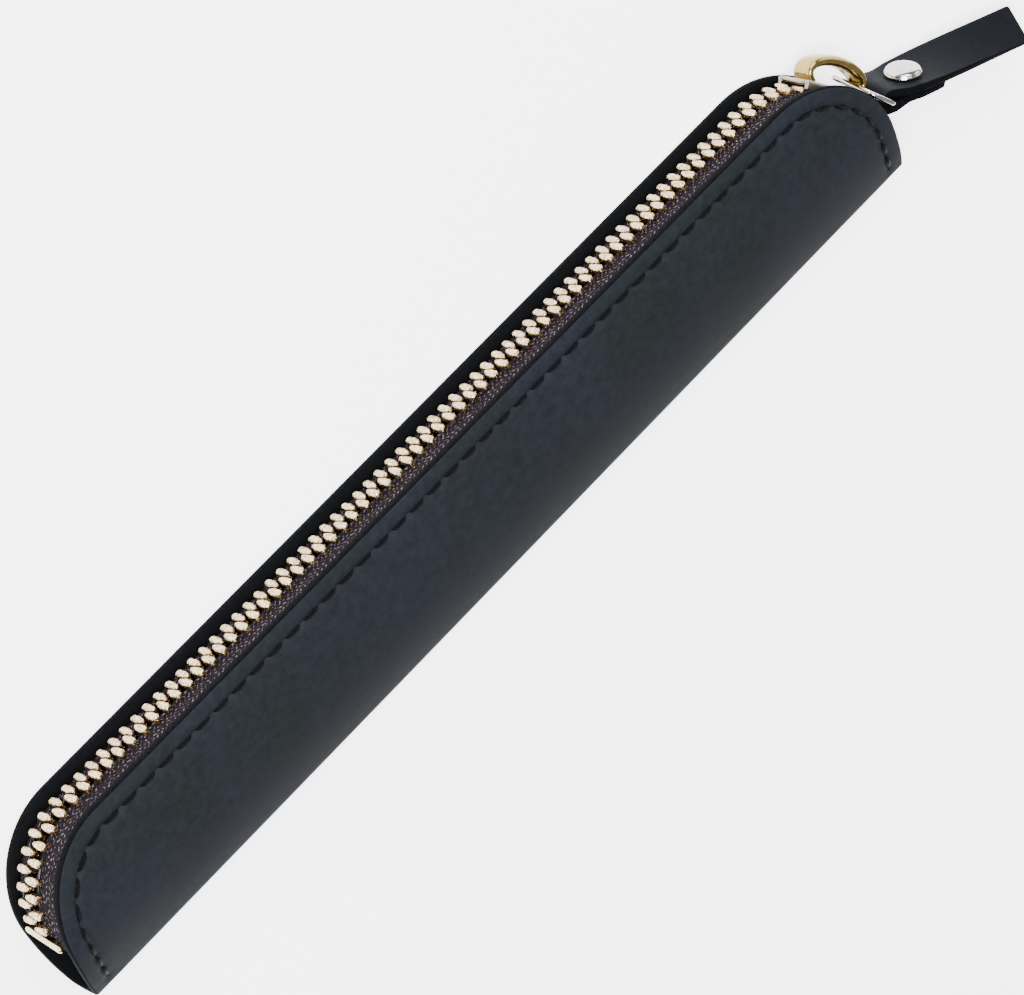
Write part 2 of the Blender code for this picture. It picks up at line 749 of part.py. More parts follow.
def turned(name, profile, finish):
    """Turn a (radius, out) profile about the rivet's axis."""
    centre, heading, normal, width = strap_frame(RIVET_DISTANCE)
    shape = bmesh.new()
    rows = []
    for radius, out in profile:
        base = centre + out * normal
        if radius == 0:
            rows.append([shape.verts.new(base)])
            continue
        row = []
        for k in range(ROUND_STEPS):
            angle = 2 * math.pi * k / ROUND_STEPS
            row.append(shape.verts.new(base + radius * (math.cos(angle) * heading + math.sin(angle) * width)))
        rows.append(row)
    for near, far in zip(rows, rows[1:]):
        for k in range(ROUND_STEPS):
            j = (k + 1) % ROUND_STEPS
            corners = [near[k % len(near)], near[j % len(near)], far[j % len(far)], far[k % len(far)]]
            shape.faces.new(list(dict.fromkeys(corners)))
    made = object_from(shape, name, finish)
    smooth(made)
    return made


def rivet():
    """Domed cap, post and foot of the rivet that closes the strap's loop."""
    face = STRAP_THICKNESS + FIT_GAP / 2
    dome = []
    dome_steps = 5
    for i in range(dome_steps + 1):
        angle = math.pi / 2 * i / dome_steps
        dome.append((RIVET_CAP_RADIUS * math.cos(angle) if i < dome_steps else 0,
                     face + FIT_GAP + RIVET_CAP_HEIGHT * (0.25 + 0.75 * math.sin(angle))))
    seat = face + FIT_GAP
    cap = turned("rivet_cap", [(0, seat), (RIVET_CAP_RADIUS, seat)] + dome, "silver")
    foot_top = -face - RIVET_FOOT_GAP
    post_top = seat - FIT_GAP / 2
    post = turned("rivet_post", [(0, foot_top - RIVET_FOOT_HEIGHT), (RIVET_FOOT_RADIUS, foot_top - RIVET_FOOT_HEIGHT),
                                 (RIVET_FOOT_RADIUS, foot_top), (RIVET_POST_RADIUS, foot_top),
                                 (RIVET_POST_RADIUS, post_top), (0, post_top)], "silver")
    for piece in (cap, post):
        set_origin(piece, ring_outer_bar())


def main():
    """Build every piece of the pen case."""
    clear_scene()
    leather_body()
    chain_row("teeth_front", 1, 0)
    chain_row("teeth_back", -1, TOOTH_PITCH / 2)
    tape("tape_front", 1)
    tape("tape_back", -1)
    bottom_stop()
    top_stop("top_stop_front", 1)
    top_stop("top_stop_back", -1)
    slider_body()
    slider_crown()
    pull_ring()
    strap()
    rivet()


main()
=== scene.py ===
"""Leather pen case with a metal zip: its looks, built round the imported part.

The case lies on its back panel. X runs from the bottom stop to the slider,
Y from the fold to the zip, Z up. Lengths are in metres. A flat point (x, q) is a
place on the unfolded leather: q runs from the back panel's edge over the fold.
"""
import math
import random

import bpy
import numpy as np
from bpy.props import FloatProperty, FloatVectorProperty, IntProperty, PointerProperty
from mathutils import Matrix, Vector
from mathutils.kdtree import KDTree


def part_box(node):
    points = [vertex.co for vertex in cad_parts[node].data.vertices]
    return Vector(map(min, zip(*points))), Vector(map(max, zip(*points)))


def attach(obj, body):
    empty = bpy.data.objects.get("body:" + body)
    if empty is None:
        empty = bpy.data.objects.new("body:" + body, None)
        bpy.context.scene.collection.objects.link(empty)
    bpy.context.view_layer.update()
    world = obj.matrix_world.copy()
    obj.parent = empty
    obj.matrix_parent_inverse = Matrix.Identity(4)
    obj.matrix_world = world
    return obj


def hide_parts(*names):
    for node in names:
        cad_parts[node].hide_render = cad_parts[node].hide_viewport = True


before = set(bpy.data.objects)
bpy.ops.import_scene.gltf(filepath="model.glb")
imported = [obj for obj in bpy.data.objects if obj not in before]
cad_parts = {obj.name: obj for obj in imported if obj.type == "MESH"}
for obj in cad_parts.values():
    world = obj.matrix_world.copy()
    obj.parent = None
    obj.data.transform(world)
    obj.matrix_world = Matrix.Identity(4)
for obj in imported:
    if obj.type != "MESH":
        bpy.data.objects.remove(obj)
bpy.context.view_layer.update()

bl_info = {
    "name": "Leather Pen Case",
    "version": (1, 0, 0),
    "blender": (4, 5, 0),
    "location": "View3D > Sidebar > Pen Case",
    "description": "Models a slim leather pen case with a metal zip",
    "category": "Object",
}

MM = 0.001
QUARTER = math.pi / 2

# Leather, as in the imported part
BODY_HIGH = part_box("leather_body")[1]
HALF_LENGTH = BODY_HIGH.x
EDGE_Y = BODY_HIGH.y
FOLD_Y = -EDGE_Y
MOUTH_WIDTH = 14.2 * MM
LEATHER = 1.5 * MM
FOLD_RADIUS = 2.7 * MM
NEAR_RADIUS = 15.5 * MM
FAR_RADIUS = 19.0 * MM
FRONT_EDGE_DROP = 0.5 * MM
NEAR_TAPER = 2.2 * MM
FOLD_SLOPE = math.radians(38)
EDGE_SLOPE = math.radians(1.5)

# What the photograph adds at the ends, and how far in from the end it reaches. The far
# end is drawn out only below the Y of FAR_REACH_START.
FAR_REACH = 2.2 * MM
FAR_REACH_START = 2 * MM
NEAR_FLARE = 1.2 * MM
NEAR_CHAIN_REACH = 0.9 * MM
END_RUN = 28 * MM
FLARE_RUN = 26 * MM
CHAIN_RUN = 24 * MM
CHAIN_FULL_SHIFT = 2 * MM

# Marks in the leather, in the scene alone: the seam's groove, the ridge outside it,
# the awl's slits and the front panel's faint swells
GROOVE_WIDTH = 0.5 * MM
RIDGE_INSET = 1.5 * MM
RIDGE_WIDTH = 0.9 * MM
RIDGE_HEIGHT = 0.1 * MM
SLIT_WIDTH = 0.6 * MM
SLIT_DEPTH = 0.42 * MM
# Reach of the painted shade in each awl's slit: the leather's face this close to a hole takes the
# near-black edge finish
SLIT_SHADE_REACH = 0.95 * MM
SWELL_HEIGHT = 0.16 * MM
SEAM_MARGIN = 0.4 * MM
STITCH_HOLE = 0.22 * MM
STITCH_DIP = 0.64 * MM

# Zip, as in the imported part
CHAIN_INSET = 2.15 * MM
CHAIN_HEIGHT = 5.5 * MM
TOOTH_PITCH = 2.46 * MM
TOOTH_ROOT = 2.6 * MM
TOOTH_WIDTH = 1.35 * MM
TOOTH_HALF_HEIGHT = 1.35 * MM
FIT_GAP = 0.3 * MM
TAPE = 0.5 * MM
TAPE_FLAP = 8 * MM
TAPE_RISE = 12.8 * MM
STOP_LENGTH = 2.2 * MM
STOP_RISE = 0.2 * MM
NEAR_CHAIN = NEAR_RADIUS - CHAIN_INSET
FAR_CHAIN = FAR_RADIUS - CHAIN_INSET
NEAR_CORNER = Vector((-HALF_LENGTH + NEAR_RADIUS, EDGE_Y - NEAR_RADIUS))
FAR_CORNER = Vector((HALF_LENGTH - FAR_RADIUS, EDGE_Y - FAR_RADIUS))
CHAIN_START = STOP_RISE + STOP_LENGTH + FIT_GAP

# Tape cords, the tape's bend and the stop's place, in the scene alone
CORD_OFFSET = 1.95 * MM
CORD_RADIUS = 0.62 * MM
WEB_TUCK = 0.4 * MM
TAPE_BEND = 0.8 * MM
FLAP_START = 0.9 * MM
STOP_SHIFT = 1.0 * MM
STOP_SLANT = math.radians(20)

# Slider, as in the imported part
SLIDER_ANGLE = math.radians(52)
SLIDER_LENGTH = 12.2 * MM
SLIDER_SETBACK = 4.375 * MM
PLATE = 0.9 * MM
PLATE_BASE = TOOTH_HALF_HEIGHT + FIT_GAP
PLATE_TOP = PLATE_BASE + PLATE
LOWER_TOP = -TOOTH_HALF_HEIGHT - 1.2 * MM
LOWER_LENGTH = 9.4 * MM
NECK_LENGTH = 2.4 * MM
NECK_SETBACK = 1.0 * MM

# Crown: its arch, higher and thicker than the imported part's
CROWN_TUCK = math.radians(32)
CROWN_RISE = 3.9 * MM
CROWN_FORWARD = 1.6 * MM
CROWN_HALF_LENGTH = 5.5 * MM
CROWN_HALF_WIDTH = 2.1 * MM
CROWN_OUTSIDE = 0.89 * MM
CROWN_INSIDE = 0.45 * MM
CROWN_SWELL = 0.5 * MM

# Pull ring, strap and rivet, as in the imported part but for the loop's width, the strap's
# edges, corners and turn-back, and the ring that the rivet's cap presses into it
RING_BAR = Vector((94.7066, 3.9501, 6.7)) * MM
RING_WIRE = 0.45 * MM
RING_BEND = 0.9 * MM
RING_REACH = 5.5 * MM
RING_HEADING = math.radians(-57)
STRAP_BAR = Vector((97.7752, -0.5643, 6.0263)) * MM
STRAP_WIDTH = 10.4 * MM
STRAP_LOOP_WIDTH = 8.2 * MM
STRAP_TAIL_WIDTH = 6.9 * MM
STRAP_THICKNESS = 1.3 * MM
STRAP_LENGTH = 32.2 * MM
STRAP_TURN_BACK = 12.5 * MM
STRAP_HEADING = math.radians(-20.3)
STRAP_SINK = 1.6 * MM
STRAP_TWIST_START = 6 * MM
STRAP_TWIST = math.radians(48)
STRAP_EDGE_ROUND = 0.34 * MM
STRAP_CORNER = 0.7 * MM
STRAP_EASING = 4.2 * MM
TURN_BACK_NARROWER = 0.13
PULL_LEAN = math.radians(12)
RIVET_DISTANCE = 6.3 * MM
RIVET_RADIUS = 3.1 * MM
RIVET_RIM = 0.3 * MM
RIVET_DOME = 0.9 * MM
RIVET_PRESS = 0.12 * MM

# Rings of vertices at these distances from the outline, in mm: close at edge and seam
SHELL_RINGS = (0, 0.04, 0.12, 0.24, 0.42, 0.75, 1.2, 1.7, 2.15, 2.5, 2.8,
               3.05, 3.25, 3.45, 3.7, 4.0, 4.5, 5.3, 6.3)
STRAP_RINGS = (0, 0.03, 0.1, 0.2, 0.34, 0.6, 1.0, 1.5)
PAINTED_EDGE = 2


def linear(value):
    """Linear red, green and blue of an sRGB hex value."""
    channels = [(value >> shift & 255) / 255 for shift in (16, 8, 0)]
    return tuple(c / 12.92 if c <= 0.04045 else ((c + 0.055) / 1.055) ** 2.4 for c in channels)


def colour(label, value, note):
    """Colour property with an sRGB hex default."""
    return FloatVectorProperty(name=label, description=note, default=linear(value), size=3,
                               min=0, max=1, subtype="COLOR")


def length(label, millimetres, note):
    """Length property with a default in millimetres."""
    return FloatProperty(name=label, description=note, default=millimetres * MM, min=0,
                         unit="LENGTH", precision=5)


class PenCaseSizes(bpy.types.PropertyGroup):
    """Sizes that a user would change."""
    stitch_pitch: length("Stitch pitch", 3.95, "Distance from one stitch hole to the next")
    stitch_inset: length("Stitch inset", 3.25, "Distance of the seam from the panel's edge")
    thread: length("Thread", 0.86, "Diameter of the sewing thread")
    seam_depth: length("Seam depth", 0.34, "How deep the seam is drawn into the leather")
    edge_round: length("Edge rounding", 0.42, "Radius of the burnished leather edges")
    grain: length("Grain", 0.55, "Width of one pebble of the leather's grain")
    weave: length("Weave", 0.95, "Length of one diagonal of the tape's twill")
    tooth_round: length("Tooth rounding", 0.42, "Radius of the edges of a zip tooth")
    columns: IntProperty(name="Columns", description="Mesh columns along the leather",
                         default=330, min=40)
    rows: IntProperty(name="Rows", description="Mesh rows across the unfolded leather",
                      default=112, min=40)


class PenCaseColours(bpy.types.PropertyGroup):
    """Colours that a user would change."""
    leather: colour("Leather", 0x1B1D23, "Main colour of the dyed leather")
    leather_green: colour("Leather patches", 0x191C1E, "Cooler patches in the dye")
    # Painted shade: the strap's leather is made darker than the case's for the shade on its
    # sideways faces
    strap: colour("Strap leather", 0x0E1014, "Darker leather of the pull strap")
    edge: colour("Leather edge", 0x050608, "Burnished and painted cut edge")
    suede: colour("Leather inside", 0x060708, "Flesh side of the leather")
    thread: colour("Thread", 0x040506, "Waxed sewing thread")
    tape: colour("Zip tape", 0x130E12, "Ground colour of the woven tape")
    fleck: colour("Tape flecks", 0x675B63, "Raised threads of the tape")
    teeth: colour("Zip teeth", 0xD8C09C, "Pale gold plating of the teeth")
    # Painted shade: the darker amber that the teeth turn to lower down their flanks; their worn
    # spots take it too
    flank_shade_and_wear: colour("Tooth flanks", 0xB29560, "Amber brass down the flanks of the teeth")
    slider: colour("Slider", 0x968A7C, "Satin pale gold of the slider")
    crown: colour("Crown", 0xA08A52, "Polished gold of the crown")
    silver: colour("Ring and rivet", 0xB4B1B0, "Polished nickel")
    floor: colour("Floor", 0xF6F6F6, "Plain pale floor")


# ---------------------------------------------------------------- modelling


def deselect():
    """Leave every object unselected and in object mode."""
    if bpy.context.object and bpy.context.object.mode != "OBJECT":
        bpy.ops.object.mode_set(mode="OBJECT")
    bpy.ops.object.select_all(action="DESELECT")


def rename(piece, name):
    """Give an object and its mesh one name."""
    piece.name = name
    piece.data.name = name
    return piece


def primitive(kind, name, **settings):
    """Add a mesh primitive and return it named, selected and active."""
    deselect()
    getattr(bpy.ops.mesh, f"primitive_{kind}_add")(**settings)
    return rename(bpy.context.object, name)


def grid(name, columns, rows):
    """Add a grid and return it with the column and row number of each vertex."""
    made = primitive("grid", name, x_subdivisions=columns, y_subdivisions=rows, size=2)
    shares = (coordinates(made) + 1) / 2
    return made, *(np.rint(shares[:, k] * n).astype(int) for k, n in enumerate((columns, rows)))


def activate(*pieces):
    """Select these pieces and make the first one active."""
    deselect()
    for piece in pieces:
        piece.select_set(True)
    bpy.context.view_layer.objects.active = pieces[0]


def coordinates(piece):
    """Vertex places of a piece as an array."""
    flat = np.empty(len(piece.data.vertices) * 3)
    piece.data.vertices.foreach_get("co", flat)
    return flat.reshape(-1, 3)


def place(piece, points):
    """Move a piece's vertices to these places."""
    piece.data.vertices.foreach_set("co", np.asarray(points, float).ravel())
    piece.data.update()


def modify(piece, kind, **settings):
    """Add a modifier and apply it."""
    activate(piece)
    change = piece.modifiers.new(kind.title(), kind)
    for key, value in settings.items():
        setattr(change, key, value)
    bpy.ops.object.modifier_apply(modifier=change.name)


def edit(piece, mode="VERT", action="SELECT"):
    """Enter edit mode with everything or nothing selected."""
    activate(piece)
    bpy.ops.object.mode_set(mode="EDIT")
    bpy.ops.mesh.select_mode(type=mode)
    bpy.ops.mesh.select_all(action=action)


def tidy(piece, smooth_angle=None):
    """Merge doubles, turn faces outwards and set the shading."""
    edit(piece)
    bpy.ops.mesh.remove_doubles(threshold=2e-6)
    bpy.ops.mesh.normals_make_consistent(inside=False)
    bpy.ops.object.mode_set(mode="OBJECT")
    if smooth_angle is None:
        bpy.ops.object.shade_smooth()
    else:
        bpy.ops.object.shade_smooth_by_angle(angle=math.radians(smooth_angle))


def join(pieces, name):
    """Join pieces into one object."""
    activate(*pieces)
    if len(pieces) > 1:
        bpy.ops.object.join()
    return rename(bpy.context.object, name)


def repeat(model, changes, name):
    """Copy a model once for each change, each copy with its own mesh, and join the copies.

    A change is a matrix or the new places of the copy's vertices.
    """
    copies = []
    for change in changes:
        copy = model.copy()
        copy.data = model.data.copy()
        if isinstance(change, Matrix):
            copy.data.transform(change)
        else:
            place(copy, change)
        bpy.context.collection.objects.link(copy)
        copies.append(copy)
    bpy.data.objects.remove(model, do_unlink=True)
    return join(copies, name)


def settle(piece, matrix):
    """Put the place of a piece into its mesh, with its object at the origin."""
    piece.data.transform(matrix @ piece.matrix_world)
    piece.matrix_world = Matrix.Identity(4)


def union(pieces, name):
    """Join closed pieces that overlap into one closed mesh."""
    first = pieces[0]
    for other in pieces[1:]:
        modify(first, "BOOLEAN", operation="UNION", object=other, solver="EXACT")
        bpy.data.objects.remove(other, do_unlink=True)
    return join([first], name)


def block(name, low, high, rounding=0.0, segments=3):
    """Box between two corners, given in mm, with rounded edges."""
    low, high = (Vector([value * MM for value in corner]) for corner in (low, high))
    made = primitive("cube", name, size=1)
    made.data.transform(
        Matrix.Translation((low + high) / 2) @ Matrix.Diagonal((*(high - low), 1)))
    if rounding:
        modify(made, "BEVEL", width=rounding * MM, segments=segments, limit_method="ANGLE")
    return made


def plate(name, outline, low, high, rounding, segments):
    """Flat plate of an outline in X and Y, drawn up from low to high, edges rounded."""
    made = primitive("circle", name, vertices=len(outline), radius=1, fill_type="NGON")
    place(made, [(x, y, low) for x, y in outline])
    edit(made, "FACE")
    bpy.ops.mesh.extrude_region_move(TRANSFORM_OT_translate={"value": (0, 0, high - low)})
    bpy.ops.object.mode_set(mode="OBJECT")
    tidy(made, 40)
    modify(made, "BEVEL", width=rounding, segments=segments, limit_method="ANGLE",
           angle_limit=math.radians(50))
    return made


def turned(name, profile, segments):
    """Body of revolution: a disc is drawn up and scaled along a (radius, height) profile."""
    (radius, height), *rest = profile
    made = primitive("circle", name, vertices=segments, radius=radius, fill_type="NGON",
                     location=(0, 0, height))
    bpy.ops.object.transform_apply(location=True)
    edit(made, "FACE")
    for next_radius, next_height in rest:
        bpy.ops.mesh.extrude_region_move(
            TRANSFORM_OT_translate={"value": (0, 0, next_height - height)})
        share = next_radius / radius
        bpy.ops.transform.resize(value=(share, share, 1), center_override=(0, 0, next_height))
        radius, height = next_radius, next_height
    bpy.ops.object.mode_set(mode="OBJECT")
    tidy(made, 35)
    return made


def tube(name, points, radius, sides, closed=False):
    """Round wire or cord along points, turned into a mesh."""
    deselect()
    curve = bpy.data.curves.new(name, "CURVE")
    curve.dimensions = "3D"
    spline = curve.splines.new("POLY")
    spline.points.add(len(points) - 1)
    for target, point in zip(spline.points, points):
        target.co = (*point, 1)
    spline.use_cyclic_u = closed
    curve.bevel_depth = radius
    curve.bevel_resolution = max(sides // 4 - 1, 0)
    curve.use_fill_caps = not closed
    made = bpy.data.objects.new(name, curve)
    bpy.context.collection.objects.link(made)
    activate(made)
    bpy.ops.object.convert(target="MESH")
    made = bpy.context.object
    tidy(made, 60)
    return made


def smooth(value):
    """Smooth step: 0 up to 0, 1 from 1 on, with level ends between."""
    value = np.clip(value, 0, 1)
    return value ** 2 * (3 - 2 * value)


def blunt(value, power):
    """Value between -1 and 1 raised to a power below 1, with its sign kept."""
    return math.copysign(abs(value) ** power, value)


# ------------------------------------------------------- sheets of leather


def outline_side(side, shares, inset, box, radii):
    """Points on one side of a rounded rectangle, from mid corner to mid corner.

    box is (low x, low q, high x, high q) and radii those of the corners low-low,
    high-low, high-high and low-high. Sides are back, front, near and far.
    """
    low_x, low_q, high_x, high_q = box
    corner = {"back": (0, 1), "front": (3, 2), "near": (0, 3), "far": (1, 2)}[side]
    first, last = radii[corner[0]], radii[corner[1]]
    span = (high_x - low_x) if side in ("back", "front") else (high_q - low_q)
    start, end = (first - inset) * QUARTER / 2, (last - inset) * QUARTER / 2
    straight = span - first - last
    run = np.asarray(shares) * (start + straight + end)
    along, depth = np.empty_like(run), np.empty_like(run)
    in_start, in_end = run < start, run > start + straight
    middle = ~(in_start | in_end)
    along[middle], depth[middle] = first + run[middle] - start, inset
    turn = QUARTER / 2 * (1 + run[in_start] / max(start, 1e-12))
    along[in_start] = first - (first - inset) * np.cos(turn)
    depth[in_start] = first - (first - inset) * np.sin(turn)
    turn = QUARTER / 2 * (2 - (run[in_end] - start - straight) / max(end, 1e-12))
    along[in_end] = span - last + (last - inset) * np.cos(turn)
    depth[in_end] = last - (last - inset) * np.sin(turn)
    if side == "back":
        return np.c_[low_x + along, low_q + depth]
    if side == "front":
        return np.c_[low_x + along, high_q - depth]
    if side == "near":
        return np.c_[low_x + depth, low_q + along]
    return np.c_[high_x - depth, low_q + along]


def flat_sheet(name, columns, rows, rings_mm, box, radii):
    """Grid cut to a rounded rectangle, with rings of vertices at the given insets.

    Returns the grid, its flat (x, q) points, and each point's ring inset or the last inset.
    """
    made, i, j = grid(name, columns, rows)
    insets = [inset * MM for inset in rings_mm]
    rings = len(insets) - 1
    ring = np.minimum.reduce([i, j, columns - i, rows - j])
    flat = np.zeros((len(i), 2))
    depth = np.full(len(i), insets[-1], float)

    def ring_points(k, side):
        count = (columns if side in ("back", "front") else rows) - 2 * k
        return outline_side(side, np.linspace(0, 1, count + 1), insets[k], box, radii)

    for k in range(rings + 1):
        for side, here, index in (("back", j == k, i), ("front", j == rows - k, i),
                                  ("near", i == k, j), ("far", i == columns - k, j)):
            chosen = here & (ring == k)
            flat[chosen] = ring_points(k, side)[index[chosen] - k]
            depth[chosen] = insets[k]
    inner = ring > rings
    u = ((i - rings) / (columns - 2 * rings))[inner][:, None]
    v = ((j - rings) / (rows - 2 * rings))[inner][:, None]
    back, front, near, far = (ring_points(rings, side) for side in ("back", "front", "near", "far"))
    col, row = i[inner] - rings, j[inner] - rings
    flat[inner] = ((1 - v) * back[col] + v * front[col] + (1 - u) * near[row] + u * far[row]
                   - (1 - u) * (1 - v) * back[0] - u * (1 - v) * back[-1]
                   - (1 - u) * v * front[0] - u * v * front[-1])
    return made, flat, depth


def add_flat_uv(piece, flat):
    """Store the flat pattern's own coordinates as the UV map, in metres."""
    layers = piece.data.uv_layers
    while layers:
        layers.remove(layers[0])
    layer = layers.new(name="flat")
    index = np.empty(len(piece.data.loops), int)
    piece.data.loops.foreach_get("vertex_index", index)
    layer.data.foreach_set("uv", flat[index].ravel())


def thicken(piece, thickness, depth, rounding):
    """Give a sheet its thickness, thinner near the outline so that the edge is rounded.

    The rim and the faces within the rounding take the edge's finish.
    """
    group = piece.vertex_groups.new(name="edge")
    inside = np.clip(1 - depth / rounding, 0, 1)
    drop = rounding * (1 - np.sqrt(1 - inside ** 2))
    weights = 1 - 2 * drop / thickness
    for value in np.unique(np.round(weights, 5)):
        chosen = np.nonzero(np.abs(weights - value) < 1e-5)[0]
        group.add(chosen.tolist(), float(value), "REPLACE")
    modify(piece, "SOLIDIFY", thickness=thickness, offset=0, vertex_group="edge",
           thickness_vertex_group=0, use_rim=True, material_offset_rim=PAINTED_EDGE,
           material_offset=1)
    piece.vertex_groups.clear()
    paint(piece, depth < rounding * 0.8, 1)


def paint(sheet, chosen, last_material):
    """Give the edge's finish to faces whose points, on either skin, are all chosen."""
    for face in sheet.data.polygons:
        if face.material_index <= last_material and all(
                chosen[v % len(chosen)] for v in face.vertices):
            face.material_index = PAINTED_EDGE


# ------------------------------------------------------------ the case's form


def front_curve():
    """Three control points (y, z) of the front panel's outer face."""
    start = Vector((FOLD_Y + FOLD_RADIUS * (1 - math.sin(FOLD_SLOPE)),
                    FOLD_RADIUS * (1 + math.cos(FOLD_SLOPE))))
    end = Vector((EDGE_Y - FRONT_EDGE_DROP, MOUTH_WIDTH))
    rise, level_off = math.tan(FOLD_SLOPE), math.tan(EDGE_SLOPE)
    middle_y = (end.y - level_off * end.x - start.y + rise * start.x) / (rise - level_off)
    return start, Vector((middle_y, start.y + rise * (middle_y - start.x))), end


FRONT_START, FRONT_MIDDLE, FRONT_END = front_curve()
FOLD_START = EDGE_Y - FOLD_Y - FOLD_RADIUS
FOLD_END = FOLD_START + (math.pi - FOLD_SLOPE) * FOLD_RADIUS
PATTERN_BOX = (-HALF_LENGTH, 0.0, HALF_LENGTH, FOLD_END + FRONT_END.x - FRONT_START.x)
PATTERN_RADII = (NEAR_RADIUS, FAR_RADIUS, FAR_RADIUS, NEAR_RADIUS)
SEAM_FOLD_MARGIN = 1.6 * MM


def front_at(y):
    """Outer height and unit normal (y, z) of the front panel, for an array of y."""
    a = FRONT_START.x - 2 * FRONT_MIDDLE.x + FRONT_END.x
    b = 2 * (FRONT_MIDDLE.x - FRONT_START.x)
    c = FRONT_START.x - y
    t = np.clip(2 * c / (-b - np.sqrt(b * b - 4 * a * c)), 0, 1)
    z = (1 - t) ** 2 * FRONT_START.y + 2 * t * (1 - t) * FRONT_MIDDLE.y + t * t * FRONT_END.y
    across = (1 - t) * (FRONT_MIDDLE.x - FRONT_START.x) + t * (FRONT_END.x - FRONT_MIDDLE.x)
    up = (1 - t) * (FRONT_MIDDLE.y - FRONT_START.y) + t * (FRONT_END.y - FRONT_MIDDLE.y)
    size = np.hypot(across, up)
    return z, -up / size, across / size


def near_flare(x, y):
    """How much further the front panel stands open at the near end."""
    share = np.clip((y - FRONT_START.x) / (FRONT_END.x - FRONT_START.x), 0, 1)
    swell = np.clip(np.sin(math.pi * share), 0, 1) ** 1.6
    return NEAR_FLARE * swell * smooth((-HALF_LENGTH + FLARE_RUN - x) / FLARE_RUN)


def front_inner_height(x, y):
    """Height of the front panel's inner face above the floor at one place."""
    z, _, nz = (float(v) for v in front_at(np.array(y)))
    return z - LEATHER / nz + float(near_flare(x, y))


def folded(flat, sink=0.0):
    """Middle surface and outward normal of the folded leather at flat (x, q) points."""
    x, q = flat[:, 0], flat[:, 1]
    turn = -QUARTER - np.clip((q - FOLD_START) / FOLD_RADIUS, 0, math.pi - FOLD_SLOPE)
    ny, nz = np.cos(turn), np.sin(turn)
    y = np.where(q < FOLD_START, EDGE_Y - q, FOLD_Y + FOLD_RADIUS + FOLD_RADIUS * ny)
    z = np.where(q < FOLD_START, 0, FOLD_RADIUS + FOLD_RADIUS * nz)
    front = q > FOLD_END
    y = np.where(front, FRONT_START.x + q - FOLD_END, y)
    front_z, front_ny, front_nz = front_at(y)
    z = np.where(front, front_z + near_flare(x, y), z)
    ny, nz = np.where(front, front_ny, ny), np.where(front, front_nz, nz)
    corner = EDGE_Y - NEAR_RADIUS
    share = np.clip((corner - y) / (corner - FOLD_Y), 0, 1)
    x = x + NEAR_TAPER * share ** 2 * smooth((-HALF_LENGTH + END_RUN - x) / END_RUN)
    share = np.clip((FAR_REACH_START - y) / (FAR_REACH_START - FOLD_Y), 0, 1)
    x = x + FAR_REACH * share ** 1.5 * smooth((x - HALF_LENGTH + END_RUN) / END_RUN)
    depth = LEATHER / 2 + sink
    return np.c_[x, y - depth * ny, z - depth * nz], np.c_[np.zeros_like(ny), ny, nz]


def seam_line(inset, panel):
    """Dense flat points along one panel's seam, from the near end to the far end."""
    shares = np.linspace(0, 1, 900)
    near, far, edge = (outline_side(side, shares, inset, PATTERN_BOX, PATTERN_RADII)
                       for side in ("near", "far", panel))
    if panel == "back":
        limit = FOLD_START - SEAM_FOLD_MARGIN
        near, far = near[near[:, 1] < limit], far[far[:, 1] < limit]
        return np.vstack([near[::-1], edge[1:], far[1:]])
    limit = FOLD_END + SEAM_FOLD_MARGIN
    near, far = near[near[:, 1] > limit], far[far[:, 1] > limit]
    return np.vstack([near, edge[1:], far[::-1][1:]])


def run_along(points):
    """Distance along a polyline to each of its points."""
    gaps = np.linalg.norm(np.diff(points, axis=0), axis=1)
    return np.concatenate([[0], np.cumsum(gaps)])


def at_run(points, run, stations):
    """Points at given distances along a polyline."""
    return np.stack([np.interp(stations, run, points[:, k]) for k in range(points.shape[1])], 1)


def direction_at(points, run, stations, step):
    """Unit directions at given distances along a polyline."""
    ahead = (at_run(points, run, np.clip(stations + step, 0, run[-1]))
             - at_run(points, run, np.clip(stations - step, 0, run[-1])))
    return ahead / np.linalg.norm(ahead, axis=1)[:, None]


def seam_stations(sizes, panel):
    """One seam's flat line, folded line and normals, distances along it, and its holes."""
    line = seam_line(sizes.stitch_inset, panel)
    space, normal = folded(line)
    run = run_along(space)
    span = run[-1] - 2 * SEAM_MARGIN
    count = int(round(span / sizes.stitch_pitch))
    return line, space, normal, run, SEAM_MARGIN + np.arange(count + 1) * span / count


def soft_noise(x, q, seed):
    """Smooth waves over the leather, from a few seeded sines, between -1 and 1."""
    source = random.Random(seed)
    waves = 7
    total = np.zeros_like(x)
    for _ in range(waves):
        angle, size = source.uniform(0, math.tau), source.uniform(14, 42) * MM
        phase = source.uniform(0, math.tau)
        total += np.sin(math.tau * (x * math.cos(angle) + q * math.sin(angle)) / size + phase)
    return total / waves


# -------------------------------------------------------------- the zip's form


def level(angle):
    """Level unit vector at an angle from X."""
    return Vector((math.cos(angle), math.sin(angle), 0))


def to_world(origin, *axes):
    """Matrix from a piece's own three axes at a place to the world."""
    return Matrix.Translation(origin) @ Matrix(axes).transposed().to_4x4()


def path_lengths():
    """Lengths of the chain's four parts: near end, near corner, top, far corner."""
    end = NEAR_CORNER.y - (FOLD_Y + TAPE_RISE)
    return end, NEAR_CHAIN * QUARTER, FAR_CORNER.x - NEAR_CORNER.x, FAR_CHAIN * QUARTER


def on_corner(centre, radius, angle):
    """Point and outward normal on a corner of the chain."""
    normal = level(angle).xy
    return centre + radius * normal, normal


